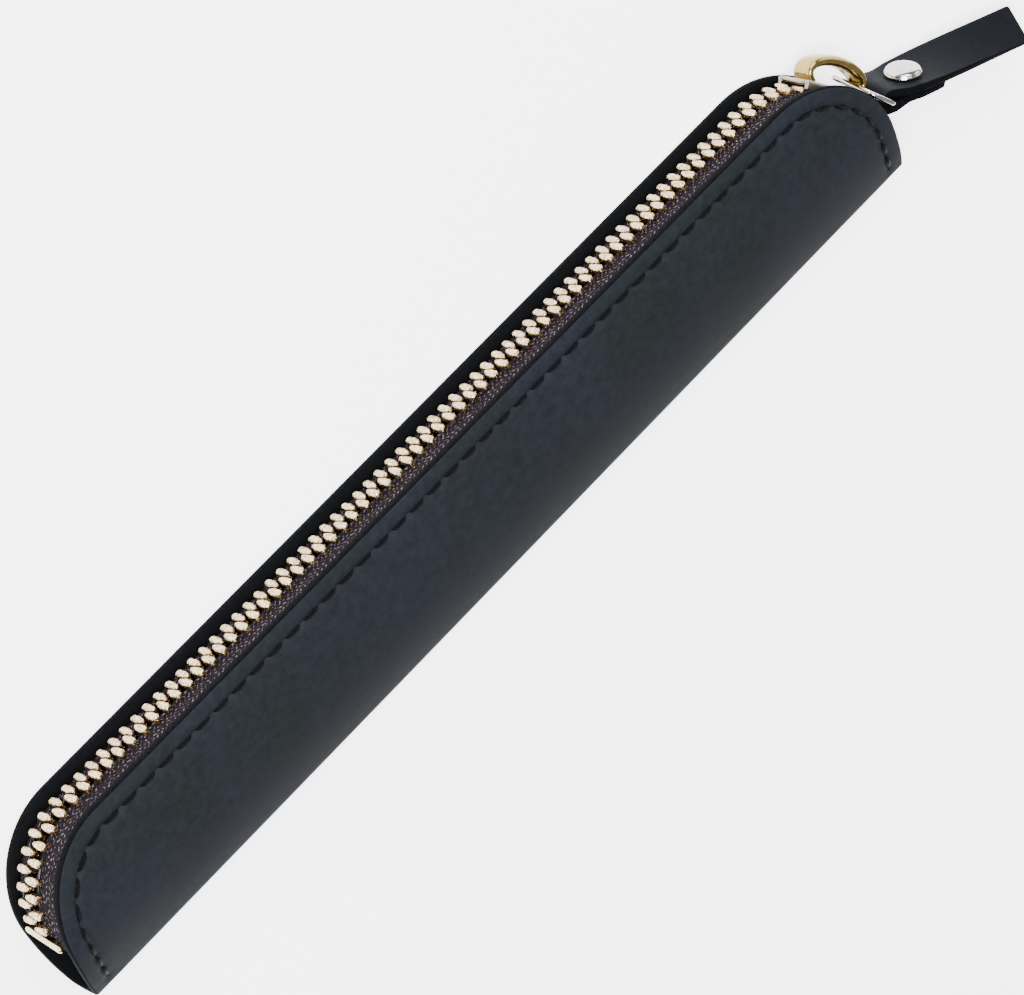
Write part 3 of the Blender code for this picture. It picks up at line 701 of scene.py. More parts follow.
def path_at(distance):
    """Point on the chain's centre line and its outward normal, in the XY plane.

    The chain is straight inside the slider.
    """
    end, near, top, _ = path_lengths()
    if distance < end:
        point, normal = on_corner(NEAR_CORNER, NEAR_CHAIN, math.pi)
        return point - Vector((0, end - distance)), normal
    distance -= end
    if distance < near:
        return on_corner(NEAR_CORNER, NEAR_CHAIN, math.pi - distance / NEAR_CHAIN)
    distance -= near
    if distance < top:
        point, normal = on_corner(NEAR_CORNER, NEAR_CHAIN, QUARTER)
        return point + Vector((distance, 0)), normal
    turned_by = (distance - top) / FAR_CHAIN
    half = SLIDER_LENGTH / 2 / FAR_CHAIN
    if abs(turned_by - SLIDER_ANGLE) >= half:
        return on_corner(FAR_CORNER, FAR_CHAIN, QUARTER - turned_by)
    middle, normal = on_corner(FAR_CORNER, FAR_CHAIN * math.cos(half), QUARTER - SLIDER_ANGLE)
    reach = (turned_by - SLIDER_ANGLE) / half * FAR_CHAIN * math.sin(half)
    return middle + reach * Vector((normal.y, -normal.x)), normal


def slider_distance():
    """Distance along the chain to the slider's middle."""
    end, near, top, _ = path_lengths()
    return end + near + top + FAR_CHAIN * SLIDER_ANGLE


def chain_at(distance):
    """Point on the chain as it lies, nearer the edge at the near end, and its normal."""
    point, normal = path_at(distance)
    reach = (-HALF_LENGTH + CHAIN_RUN - point.x) / (CHAIN_RUN - CHAIN_FULL_SHIFT)
    return point - Vector((NEAR_CHAIN_REACH * smooth(reach), 0)), normal


def on_chain(distance, across):
    """World point beside the chain."""
    point, _ = chain_at(distance)
    return Vector((point.x, point.y, CHAIN_HEIGHT + across))


def chain_matrix(distance, side):
    """Matrix from a tooth's own axes (along, towards its tape, outward) to the world."""
    point, normal = chain_at(distance)
    return to_world((point.x, point.y, CHAIN_HEIGHT), (normal.y, -normal.x, 0), (0, 0, side),
                    (normal.x, normal.y, 0))


def tape_point(distance, inward, side):
    """Middle of the tape's flap at one place against its panel."""
    point, normal = chain_at(distance)
    if point.x > FAR_CORNER.x:
        normal = (point - FAR_CORNER).normalized()
    spot = point - inward * normal
    if side > 0:
        height = front_inner_height(spot.x, spot.y) - FIT_GAP - TAPE / 2
    else:
        height = LEATHER + FIT_GAP + TAPE / 2
    return Vector((spot.x, spot.y, height))


def slider_matrix():
    """Matrix from the slider's own axes (travel, across, outward) to the world."""
    outward, travel = level(QUARTER - SLIDER_ANGLE), level(-SLIDER_ANGLE)
    radius = FAR_CHAIN * math.cos(SLIDER_LENGTH / 2 / FAR_CHAIN)
    middle = Vector((*FAR_CORNER, CHAIN_HEIGHT)) + radius * outward
    return to_world(middle, travel, outward.cross(travel), outward)


# -------------------------------------------------------------- the pull's form


def strap_frame(along):
    """Centre, face normal and width axis of the strap at one place."""
    heading = level(STRAP_HEADING)
    reach = max(along - STRAP_TWIST_START, 0)
    share = min(reach / (STRAP_LENGTH - STRAP_TWIST_START), 1)
    centre = STRAP_BAR + along * heading - Vector((0, 0, STRAP_SINK * share))
    turn = Matrix.Rotation(PULL_LEAN + STRAP_TWIST * share, 3, heading)
    return centre, turn @ Vector((-heading.y, heading.x, 0)), turn @ Vector((0, 0, 1))


def strap_half_width(along):
    """Half the strap's width: drawn in at the ring, full at the rivet, narrow at the tail."""
    if along < RIVET_DISTANCE:
        share = max(along, 0) / RIVET_DISTANCE
        return (STRAP_LOOP_WIDTH + (STRAP_WIDTH - STRAP_LOOP_WIDTH) * share) / 2
    share = min((along - RIVET_DISTANCE) / (STRAP_LENGTH - RIVET_DISTANCE), 1)
    return (STRAP_TAIL_WIDTH + (STRAP_WIDTH - STRAP_TAIL_WIDTH) * (1 - share) ** 2) / 2


def strap_line():
    """Middle line of the folded strap as (along, out) points, turn-back first."""
    layer = STRAP_THICKNESS / 2 + FIT_GAP / 2
    loop = RING_WIRE + FIT_GAP + STRAP_THICKNESS / 2

    def layer_points(reach, steps, side):
        places = (reach * i / steps for i in range(steps + 1))
        return [(a, side * (loop + (layer - loop) * smooth(a / STRAP_EASING)))
                for a in places]

    bend_steps = 18
    angles = (-QUARTER - math.pi * i / bend_steps for i in range(1, bend_steps))
    bend = [(loop * math.cos(angle), loop * math.sin(angle)) for angle in angles]
    back = layer_points(STRAP_TURN_BACK, 26, -1)
    return np.array(back[::-1] + bend + layer_points(STRAP_LENGTH, 70, 1))


# ---------------------------------------------------------------- materials


def new_material(name):
    """Empty node material."""
    made = bpy.data.materials.new(name)
    made.use_nodes = True
    made.node_tree.nodes.clear()
    return made


def add_node(material, kind, inputs=None, **settings):
    """Add one node: settings are its properties, inputs are values or what feeds them."""
    made = material.node_tree.nodes.new("ShaderNode" + kind)
    for key, value in settings.items():
        setattr(made, key, value)
    for key, value in (inputs or {}).items():
        if isinstance(value, bpy.types.NodeSocket):
            material.node_tree.links.new(value, made.inputs[key])
        else:
            made.inputs[key].default_value = value
    return made


def rgba(value, factor=1.0, lift=0.0):
    """Colour with full alpha, scaled and lifted."""
    return (*(min(c * factor + lift, 1) for c in value), 1.0)


def noise(material, where, size, detail, roughness, distortion=0.0):
    """Noise with blobs of about one real size, in metres."""
    return add_node(material, "TexNoise", {
        "Vector": where, "Scale": 1 / size, "Detail": detail, "Roughness": roughness,
        "Distortion": distortion}).outputs["Fac"]


def ramp(material, factor, low, high):
    """Colour between two (position, colour) stops."""
    made = add_node(material, "ValToRGB", {"Fac": factor})
    for element, (position, tint) in zip(made.color_ramp.elements, (low, high)):
        element.position, element.color = position, tint
    return made.outputs["Color"]


def remap(material, value, low, high, to_low, to_high, kind="LINEAR"):
    """Value stretched from one range to another."""
    return add_node(material, "MapRange", {
        "Value": value, "From Min": low, "From Max": high, "To Min": to_low,
        "To Max": to_high}, interpolation_type=kind).outputs["Result"]


def maths(material, operation, *terms):
    """Value of a math node."""
    return add_node(material, "Math", dict(enumerate(terms)), operation=operation).outputs[0]


def mix(material, blend, factor, first, second):
    """Two colours blended."""
    return add_node(material, "Mix", {0: factor, 6: first, 7: second}, data_type="RGBA",
                    blend_type=blend).outputs[2]


def bump(material, height, strength, depth, under=None):
    """Normal bumped by a height, on top of another bump if there is one."""
    inputs = {"Height": height, "Strength": strength, "Distance": depth}
    if under is not None:
        inputs["Normal"] = under
    return add_node(material, "Bump", inputs).outputs["Normal"]


def surface(material, base, inputs):
    """End a material in its principled shader."""
    shader = add_node(material, "BsdfPrincipled", {"Base Color": base, **inputs})
    add_node(material, "OutputMaterial", {"Surface": shader.outputs[0]})
    return material


def leather_material(name, base, patch, roughness):
    """Drum-dyed smooth leather: fine pebbled grain, low sheen, cloudy dye."""
    made = new_material(name)
    where = add_node(made, "TexCoord").outputs["Object"]
    cloud = noise(made, where, 18.1818 * MM, 5, 0.6)  # clouds of dye, 18 mm across
    mottle = noise(made, where, 1.4 * MM, 4, 0.65)  # spots of 1.4 mm
    pores = noise(made, where, 0.22 * MM, 2, 0.5)  # hair pores of 0.2 mm
    creases = noise(made, where, 7.6923 * MM, 3, 0.5, 0.8)  # creases 8 mm apart
    pebbles = add_node(made, "TexVoronoi", {  # pebbles of the grain, 0.55 mm wide
        "Vector": where, "Scale": 1 / bpy.context.scene.pen_case_sizes.grain,
        "Smoothness": 0.55, "Randomness": 1.0}, feature="SMOOTH_F1").outputs["Distance"]
    dye = ramp(made, cloud, (0.36, rgba(base)), (0.64, rgba(patch)))
    tone = mix(made, "MULTIPLY", 1.0, dye, remap(made, mottle, 0.3, 0.75, 0.78, 1.22))
    grain = bump(made, maths(made, "MULTIPLY_ADD", pores, 0.45, pebbles), 0.5, 0.05 * MM)
    return surface(made, tone, {
        "IOR": 1.46, "Specular IOR Level": 0.032,
        "Roughness": remap(made, mottle, 0.3, 0.7, roughness - 0.05, roughness + 0.08),
        "Normal": bump(made, creases, 0.5, 0.12 * MM, grain)})


def edge_material(colours):
    """Cut edge, sanded, painted and rubbed: dark, with faint fibres."""
    made = new_material("burnished_leather_edge")
    where = add_node(made, "TexCoord").outputs["Object"]
    fibre = noise(made, where, 0.5 * MM, 4, 0.7)  # bundles of fibre, 0.5 mm thick
    tone = ramp(made, fibre, (0.3, rgba(colours.edge, 0.7)),
                (0.75, rgba(colours.edge, 1.5, 0.002)))
    return surface(made, tone, {"Roughness": 0.7, "IOR": 1.5, "Specular IOR Level": 0.01,
                                "Normal": bump(made, fibre, 0.4, 0.04 * MM)})


def suede_material(colours):
    """Flesh side of the leather: napped, no shine."""
    made = new_material("leather_flesh_side")
    where = add_node(made, "TexCoord").outputs["Object"]
    nap = noise(made, where, 0.35 * MM, 5, 0.75)  # tufts of the nap, 0.35 mm wide
    tone = ramp(made, nap, (0, rgba(colours.suede, 0.6)), (1, rgba(colours.suede, 1.9)))
    return surface(made, tone, {"Roughness": 0.95, "Specular IOR Level": 0.05,
                                "Normal": bump(made, nap, 0.6, 0.08 * MM)})


def thread_material(colours):
    """Waxed, twisted polyester thread, its plies too fine to be told apart.

    The waves run over each stitch's own UV map, which goes from 0 to 1 and isn't in metres.
    """
    made = new_material("waxed_thread")
    plies = add_node(made, "TexWave", {
        "Vector": add_node(made, "TexCoord").outputs["UV"], "Scale": 1 / (1.2 * MM),
        "Distortion": 0.3}, wave_type="BANDS", bands_direction="DIAGONAL").outputs["Fac"]
    tone = ramp(made, plies, (0, rgba(colours.thread, 0.6)),
                (1, rgba(colours.thread, 1.8, 0.003)))
    return surface(made, tone, {"Roughness": 0.5, "Specular IOR Level": 0.05,
                                "Normal": bump(made, plies, 0.6, 0.06 * MM)})


def tape_material(colours):
    """Polyester twill tape: herringbone columns of slanted threads, some of them lighter."""
    made = new_material("woven_zip_tape")
    uv = add_node(made, "TexCoord").outputs["UV"]
    split = add_node(made, "SeparateXYZ", {"Vector": uv}).outputs
    chevron = maths(made, "PINGPONG", split["Y"], 1.1 * MM)  # half a herringbone, 1.1 mm
    slant = maths(made, "ADD", split["X"], chevron)
    weave = bpy.context.scene.pen_case_sizes.weave
    ribs = maths(made, "SINE", maths(made, "MULTIPLY", slant, math.tau / weave))
    cross = maths(made, "MULTIPLY", split["Y"], math.tau / (0.8 * MM))  # columns of 0.8 mm
    threads = maths(made, "MULTIPLY_ADD", maths(made, "SINE", cross), 0.5, ribs)
    spots = noise(made, uv, 0.5 * MM, 2, 0.6)  # lighter threads, in spots of 0.5 mm
    lift = maths(made, "MULTIPLY_ADD", spots, 3.4, -1.8)
    height = maths(made, "MULTIPLY_ADD", threads, 0.42, lift)
    tone = ramp(made, height, (0.25, rgba(colours.tape)), (0.85, rgba(colours.fleck)))
    return surface(made, tone, {"Roughness": 0.85, "Specular IOR Level": 0.06,
                                "Normal": bump(made, threads, 0.9, 0.12 * MM)})


def metal_material(name, tint, roughness, grit, relief):
    """Plated and tumbled metal: slight unevenness in tone and gloss, fine scratches."""
    made = new_material(name)
    where = add_node(made, "TexCoord").outputs["Object"]
    cloud = noise(made, where, 1.1 * MM, 3, 0.6)  # uneven plating, in clouds of 1.1 mm
    scratches = noise(made, where, grit, 2, 0.7)
    tone = ramp(made, cloud, (0.3, rgba(tint, 0.82)), (0.7, rgba(tint, 1.06)))
    return surface(made, tone, {
        "Metallic": 1.0, "Normal": bump(made, scratches, relief, 0.02 * MM),
        "Roughness": remap(made, cloud, 0.3, 0.7, roughness * 0.75, roughness * 1.3)})


def teeth_material(colours):
    """Brass teeth plated pale gold and tumbled, with painted shade: pale on top, darker amber lower
    down their flanks.
    """
    made = new_material("plated_brass_teeth")
    where = add_node(made, "TexCoord").outputs
    height = add_node(made, "SeparateXYZ", {"Vector": where["UV"]}).outputs["Y"]
    # Painted shade: the colour turns from the teeth's pale gold on top to darker amber lower down
    # each tooth
    share = remap(made, height, 0.1 * MM, 1.15 * MM, 0, 1, "SMOOTHSTEP")
    plating = ramp(made, share, (0, rgba(colours.flank_shade_and_wear)), (1, rgba(colours.teeth)))
    cloud = noise(made, where["Object"], 0.55 * MM, 3, 0.65)  # tumbling marks of 0.55 mm
    pits = noise(made, where["Object"], 0.45 * MM, 1, 0.5)  # worn spots of 0.45 mm
    worn = mix(made, "MIX", remap(made, pits, 0.58, 0.7, 0, 0.75, "SMOOTHSTEP"), plating,
               rgba(colours.flank_shade_and_wear))
    tone = mix(made, "MULTIPLY", 1.0, worn, remap(made, cloud, 0.36, 0.62, 0.42, 1.2))
    return surface(made, tone, {
        "Metallic": 1.0, "Normal": bump(made, cloud, 0.9, 0.22 * MM),
        "Roughness": remap(made, cloud, 0.3, 0.7, 0.18, 0.36)})


# Name, two colours of the dye, and roughness
LEATHERS = {
    "leather": ("smooth_dyed_leather", "leather", "leather_green", 0.64),
    # The strap's darker colours are painted shade
    "strap": ("darker_strap_leather", "strap", "strap", 0.55),
}
# Name, colour, roughness, size of the scratches and how deep they show
METALS = {
    "stop": ("plated_brass_stop", "teeth", 0.22, 0.3 * MM, 0.2),
    "slider": ("satin_plated_slider", "slider", 0.34, 0.25 * MM, 0.3),
    "crown": ("polished_gold_crown", "crown", 0.16, 0.4 * MM, 0.15),
    "silver": ("polished_nickel", "silver", 0.1, 0.5 * MM, 0.1),
}
OTHER_FINISHES = {"edge": edge_material, "suede": suede_material, "thread": thread_material,
                  "tape": tape_material, "teeth": teeth_material}
MATERIALS = {}


def finish_of(name):
    """One of the case's finishes, made when it is first asked for."""
    colours = bpy.context.scene.pen_case_colours
    if name in MATERIALS:
        return MATERIALS[name]
    if name in LEATHERS:
        label, base, patch, roughness = LEATHERS[name]
        made = leather_material(label, getattr(colours, base), getattr(colours, patch), roughness)
    elif name in METALS:
        label, tint, *rest = METALS[name]
        made = metal_material(label, getattr(colours, tint), *rest)
    else:
        made = OTHER_FINISHES[name](colours)
    MATERIALS[name] = made
    return made


def dress(piece, *finishes):
    """Give a piece its finishes, the first one being its main one."""
    piece.data.materials.clear()
    for finish in finishes:
        piece.data.materials.append(finish_of(finish))


# ---------------------------------------------------------------- the pieces


def leather_shell(sizes):
    """The one piece of leather, cut flat, sewn and folded."""
    sheet, flat, depth = flat_sheet("leather_shell", sizes.columns, sizes.rows, SHELL_RINGS,
                                    PATTERN_BOX, PATTERN_RADII)
    x, q = flat[:, 0], flat[:, 1]
    open_side = np.clip(np.maximum(FOLD_START - q, q - FOLD_END) / (2 * MM) - 0.3, 0, 1)
    across = depth - sizes.stitch_inset
    groove = sizes.seam_depth * np.exp(-(across / GROOVE_WIDTH) ** 2)
    ridge = RIDGE_HEIGHT * np.exp(-((depth - RIDGE_INSET) / RIDGE_WIDTH) ** 2) * (q > FOLD_END)
    sink = (groove - ridge) * open_side
    holes = []
    for panel in ("back", "front"):
        line, _, _, run, stations = seam_stations(sizes, panel)
        holes.extend(at_run(line, run, stations))
    tree = KDTree(len(holes))
    for number, hole in enumerate(holes):
        tree.insert((*hole, 0), number)
    tree.balance()
    slit_shade = np.zeros(len(flat), bool)
    for number in np.nonzero(np.abs(across) < 1.4 * MM)[0]:
        gap = tree.find((x[number], q[number], 0))[2]
        sink[number] += SLIT_DEPTH * math.exp(-(gap / SLIT_WIDTH) ** 2) * open_side[number]
        slit_shade[number] = gap < SLIT_SHADE_REACH and -0.3 * MM < across[number] < 0.5 * MM
    on_front = np.clip((q - FOLD_END) / (8 * MM), 0, 1) * np.clip(depth / (5 * MM), 0, 1)
    sink = sink + SWELL_HEIGHT * soft_noise(x, q, 5) * on_front
    place(sheet, folded(flat, sink)[0])
    add_flat_uv(sheet, flat)
    dress(sheet, "leather", "suede", "edge")
    thicken(sheet, LEATHER, depth, sizes.edge_round)
    # The faces round each hole take the near-black edge finish: painted shade in the awl's slits
    paint(sheet, slit_shade, 0)
    activate(sheet)
    bpy.ops.object.shade_smooth()
    return sheet


def stitches(sizes, panel, name):
    """Thread laid from hole to hole in the seam's groove, each stitch dipping at both ends."""
    _, space, normal, run, stations = seam_stations(sizes, panel)
    radius = sizes.thread / 2
    crest = radius if panel == "back" else sizes.seam_depth - 0.55 * radius
    stitch = stitch_model()
    raw = coordinates(stitch)
    share = raw[:, 0] + 0.5
    lift = LEATHER / 2 - crest - STITCH_DIP * np.abs(2 * share - 1) ** 4
    slim = 1 - 0.35 * np.abs(2 * share - 1) ** 3
    shapes = []
    for start, end in zip(stations, stations[1:]):
        inner = start + STITCH_HOLE + share * (end - start - 2 * STITCH_HOLE)
        up = at_run(normal, run, inner)
        side = np.cross(up, direction_at(space, run, inner, 0.05 * MM))
        shapes.append(at_run(space, run, inner) + up * (lift + raw[:, 2] * radius * slim)[:, None]
                      + side * (raw[:, 1] * radius * slim)[:, None])
    seam = repeat(stitch, shapes, name)
    tidy(seam)
    return seam


def stitch_model():
    """One stitch along X, of unit length and radius, closed with rounded ends."""
    model = primitive("uv_sphere", "stitch", segments=8, ring_count=8, radius=1,
                      rotation=(0, QUARTER, 0))
    bpy.ops.object.transform_apply(rotation=True)
    raw = coordinates(model)
    angle = np.arccos(np.clip(raw[:, 0], -1, 1))
    swell = np.clip(np.sin(angle), 0, 1) ** 0.35
    size = np.maximum(np.hypot(raw[:, 1], raw[:, 2]), 1e-9)
    place(model, np.c_[0.5 - angle / math.pi, raw[:, 1] / size * swell, raw[:, 2] / size * swell])
    return model


def tape_line(distance, side):
    """Points across the tape at one place: up the web, round its bend and along the flap."""
    web_steps, bend_steps, flap_steps = 6, 6, 9
    corner = tape_point(distance, 0, side)
    start = on_chain(distance, side * (TOOTH_ROOT - WEB_TUCK))
    height = corner.z - start.z
    turn = min(TAPE_BEND, abs(height) * 0.5)
    web_top = Vector((start.x, start.y, corner.z - math.copysign(turn, height)))
    flap = [tape_point(distance, FLAP_START + (TAPE_FLAP - FLAP_START) * k / flap_steps, side)
            for k in range(flap_steps + 1)]
    line = [start.lerp(web_top, k / web_steps) for k in range(web_steps)]
    for k in range(bend_steps):
        t = k / bend_steps
        line.append((1 - t) ** 2 * web_top + 2 * t * (1 - t) * corner + t * t * flap[0])
    return np.array(line + flap)


def tape_strip(side, name):
    """Woven tape: a web beside the chain that turns in along the inside of its panel."""
    columns, total = 420, sum(path_lengths())
    distances = [total * column / columns for column in range(columns + 1)]
    lines = np.array([tape_line(distance, side) for distance in distances])
    runs = [run_along(line) for line in lines]
    sheet, i, j = grid(name, columns, lines.shape[1] - 1)
    place(sheet, lines[i, j])
    add_flat_uv(sheet, np.array([(distances[column], runs[column][row])
                                 for column, row in zip(i, j)]))
    dress(sheet, "tape")
    modify(sheet, "SOLIDIFY", thickness=TAPE, offset=0)
    tidy(sheet, 50)
    return sheet


def bead(side, name):
    """Corded edge of the tape, which the teeth are crimped on."""
    finish = slider_distance() + SLIDER_LENGTH / 2
    steps = 420
    points = [on_chain(CHAIN_START + (finish - CHAIN_START) * k / steps, side * CORD_OFFSET)
              for k in range(steps + 1)]
    made = tube(name, points, CORD_RADIUS, 8)
    points = coordinates(made)
    add_flat_uv(made, np.c_[points[:, 0] - points[:, 1], points[:, 2] * 2])
    dress(made, "tape")
    return made


def tooth_model(rounding):
    """One tooth: a rounded bar across the chain on two legs crimped round the cord.

    Local axes: X along the chain, Y towards the tape, Z outward. The UV map keeps each
    point's height, in metres, for the painted shade down the flanks.
    """
    wide = TOOTH_WIDTH / 2 * 0.94
    half = [(0.3 * MM, -0.42 * MM), (0.42 * MM, 0.05 * MM), (wide, 0.85 * MM), (wide, 2.1 * MM),
            (wide * 0.66, TOOTH_ROOT)]
    outline = half + [(-x, y) for x, y in reversed(half)]
    leg = wide * 0.8 / MM
    model = join([plate("tooth", outline, 0.1 * MM, TOOTH_HALF_HEIGHT, rounding, 2),
                  block("legs", (-leg, 0.7, -1.35), (leg, 2.55, 0.3)),
                  block("nib", (-0.3, -0.4, -0.7), (0.3, 1, 0.2))], "tooth")
    add_flat_uv(model, coordinates(model)[:, 1:])
    return model


def teeth_row(sizes, side, shift, name):
    """One row of separate teeth from the bottom stop to the slider's neck."""
    last = slider_distance() + SLIDER_LENGTH / 2 - SLIDER_SETBACK
    first = CHAIN_START + TOOTH_WIDTH + shift
    source = random.Random(11 + side)
    matrices = []
    for k in range(int((last - first) / TOOTH_PITCH) + 1):
        wobble = Matrix.Rotation(source.uniform(-0.03, 0.03), 4, "Z") @ Matrix.Translation(
            (source.uniform(-0.04, 0.04) * MM, 0, source.uniform(-0.05, 0.05) * MM))
        matrices.append(chain_matrix(first + k * TOOTH_PITCH, side) @ wobble)
    row = repeat(tooth_model(sizes.tooth_round), matrices, name)
    dress(row, "teeth")
    return row


def bottom_stop():
    """Bar crimped over both rows at the near end, a little aslant."""
    lid = block("bottom_stop_bar", (-0.62, -3.6, 0.5), (0.62, 4.1, 1.5), 0.48, 4)
    core = block("core", (-0.55, -2.6, -1.45), (0.55, 2.6, 1.0), 0.2)
    bar = union([lid, core], "bottom_stop_bar")
    slant = Matrix.Rotation(STOP_SLANT, 4, "Z")
    settle(bar, chain_matrix(STOP_RISE + STOP_LENGTH / 2 + STOP_SHIFT, 1) @ slant)
    tidy(bar, 40)
    dress(bar, "stop")
    return bar


def slider_casting():
    """Die-cast slider: shouldered top plate, side flanges, neck and lower plate."""
    rear, front = -SLIDER_LENGTH / 2, SLIDER_LENGTH / 2
    narrow, wide = 3.4 * MM, 3.7 * MM
    half = [(rear, narrow * 0.62), (rear + narrow * 0.14, narrow * 0.86),
            (rear + narrow * 0.38, narrow), (front - 3.4 * MM, narrow),
            (front - 2.2 * MM, wide * 0.97), (front - 1.2 * MM, wide),
            (front - wide * 0.12, wide * 0.9), (front, wide * 0.66)]
    outline = half + [(a, -b) for a, b in reversed(half)]
    parts = [plate("slider_casting", outline, PLATE_BASE, PLATE_TOP, 0.36 * MM, 4)]
    # The rest in mm
    base, lower_top, lower = PLATE_BASE / MM, LOWER_TOP / MM, (LOWER_TOP - PLATE) / MM
    neck = (front - NECK_SETBACK) / MM
    for low, high in ((-3.75, -2.9), (2.9, 3.75)):
        parts.append(block("flange", (rear / MM + 0.2, low, base - 0.85),
                           (neck - 0.4, high, base + 0.95), 0.42, 4))
    parts.append(block("neck", (neck - NECK_LENGTH / MM, -0.8, (lower + lower_top) / 2),
                       (neck, 0.8, base + 0.45), 0.2))
    parts.append(block("lower", (neck - LOWER_LENGTH / MM, -2.3, lower),
                       (neck, 2.3, lower_top), 0.2))
    casting = union(parts, "slider_casting")
    settle(casting, slider_matrix())
    tidy(casting, 40)
    dress(casting, "slider")
    return casting


def crown_point(angle):
    """Point of the arch's line, in the slider's travel and outward axes."""
    rise = CROWN_RISE * (math.sin(CROWN_TUCK) + math.sin(angle)) / (1 + math.sin(CROWN_TUCK))
    return Vector((CROWN_FORWARD + CROWN_HALF_LENGTH * math.cos(angle), PLATE_TOP + FIT_GAP + rise))


def crown():
    """Arched strip that holds the ring, rounded all over and thickest at its top."""
    around, steps = 28, 72
    made, i, j = grid("crown", steps, around)
    sweep = math.pi + 2 * CROWN_TUCK
    points = []
    for column, row in zip(i, j):
        angle = math.pi + CROWN_TUCK - sweep * column / steps
        ahead = (crown_point(angle - 0.01) - crown_point(angle + 0.01)).normalized()
        turn = math.tau * row / around
        inside = CROWN_INSIDE + CROWN_SWELL * max(math.sin(angle), 0) ** 0.7
        out = CROWN_OUTSIDE - inside + blunt(math.sin(turn), 0.75) * (CROWN_OUTSIDE + inside)
        spot = crown_point(angle) + Vector((-ahead.y, ahead.x)) * out / 2
        points.append((spot.x, blunt(math.cos(turn), 0.5) * CROWN_HALF_WIDTH, spot.y))
    place(made, points)
    edit(made, "EDGE")
    bpy.ops.mesh.remove_doubles(threshold=1e-6)
    bpy.ops.mesh.select_all(action="DESELECT")
    bpy.ops.mesh.select_non_manifold()
    bpy.ops.mesh.edge_face_add()
    bpy.ops.object.mode_set(mode="OBJECT")
    settle(made, slider_matrix())
    tidy(made, 50)
    dress(made, "crown")
    return made


def ring():
    """Polished wire bent to a rounded rectangle through the crown and the strap's loop."""
    lean = Matrix.Rotation(PULL_LEAN, 3, level(STRAP_HEADING)) @ Vector((0, 0, 1))
    heading = level(RING_HEADING)
    heading = (heading - heading.dot(lean) * lean).normalized()
    half = STRAP_LOOP_WIDTH / 2 + FIT_GAP + RING_WIRE
    steps = 12
    points = []
    for number, (a, b) in enumerate(((0, -half), (RING_REACH, -half), (RING_REACH, half),
                                     (0, half))):
        centre = Vector((a - math.copysign(RING_BEND, a - RING_REACH / 2),
                         b - math.copysign(RING_BEND, b)))
        for k in range(steps + 1):
            flat = centre + RING_BEND * level(math.pi + QUARTER * (number + k / steps)).xy
            points.append(RING_BAR + flat.x * heading + flat.y * lean)
    made = tube("ring_wire", points, RING_WIRE, 28, closed=True)
    dress(made, "silver")
    return made


def strap_sheet():
    """Leather tab folded round the ring, its edges rounded and burnished."""
    line = strap_line()
    run = run_along(line)
    half = STRAP_WIDTH / 2
    box = (0.0, -half, float(run[-1]), half)
    sheet, flat, depth = flat_sheet("strap_leather", 170, 44, STRAP_RINGS, box,
                                    (STRAP_CORNER,) * 4)
    points = []
    for (_, q), (along, out) in zip(flat.tolist(), at_run(line, run, flat[:, 0]).tolist()):
        centre, normal, width = strap_frame(along)
        half_width = strap_half_width(along)
        if out > 0:
            # The rivet's cap presses a ring into the front layer
            reach = math.hypot(along - RIVET_DISTANCE, q)
            out -= RIVET_PRESS * math.exp(-((reach - RIVET_RADIUS) / (0.5 * MM)) ** 2)
        else:
            # The turn-back is narrower, so that it stays out of sight
            half_width *= 1 - TURN_BACK_NARROWER * min(max(along - 1 * MM, 0) / (3 * MM), 1)
        points.append(centre + out * normal - q / half * half_width * width)
    place(sheet, points)
    add_flat_uv(sheet, flat)
    dress(sheet, "strap", "suede", "edge")
    thicken(sheet, STRAP_THICKNESS, depth, STRAP_EDGE_ROUND)
    activate(sheet)
    bpy.ops.object.shade_smooth()
    return sheet


def rivet_parts():
    """Domed rivet cap with a rolled rim, and the post with its foot."""
    face = STRAP_THICKNESS + FIT_GAP / 2
    seat = face + FIT_GAP
    rim = [(0.9, -0.2), (0.97, -0.12), (1, 0.05), (0.985, 0.22), (0.955, 0.3)]
    profile = [(RIVET_RADIUS * share, seat + height * MM) for share, height in rim]
    dome_radius, dome_steps = RIVET_RADIUS * 0.955, 12
    for k in range(1, dome_steps + 1):
        angle = QUARTER * k / dome_steps
        profile.append((max(dome_radius * math.cos(angle), 0.02 * MM),
                        seat + RIVET_RIM + RIVET_DOME * math.sin(angle)))
    foot = -face - 0.5 * MM
    post = [(2.1, -0.5), (2.3, -0.42), (2.4, -0.25), (2.3, -0.06), (2.1, 0), (1.1, 0.01)]
    post_profile = [(radius * MM, foot + height * MM) for radius, height in post]
    pieces = (turned("rivet_dome", profile, 72),
              turned("rivet_foot", post_profile + [(1.1 * MM, seat - FIT_GAP)], 48))
    centre, normal, width = strap_frame(RIVET_DISTANCE)
    for piece in pieces:
        settle(piece, to_world(centre, width.cross(normal), width, normal))
        tidy(piece, 35)
        dress(piece, "silver")
    return pieces


# ---------------------------------------------------------------- operators


class PENCASE_OT_leather(bpy.types.Operator):
    """Cut, sew and fold the case's one piece of leather"""
    bl_idname = "pencase.leather"
    bl_label = "Leather Body"

    def execute(self, context):
        shell = leather_shell(context.scene.pen_case_sizes)
        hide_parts("leather_body")
        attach(shell, "case")
        return {"FINISHED"}


class PENCASE_OT_stitching(bpy.types.Operator):
    """Lay the thread of both seams"""
    bl_idname = "pencase.stitching"
    bl_label = "Stitching"

    def execute(self, context):
        for panel in ("front", "back"):
            seam = stitches(context.scene.pen_case_sizes, panel, f"stitching_{panel}")
            dress(seam, "thread")
            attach(seam, "case")
        return {"FINISHED"}


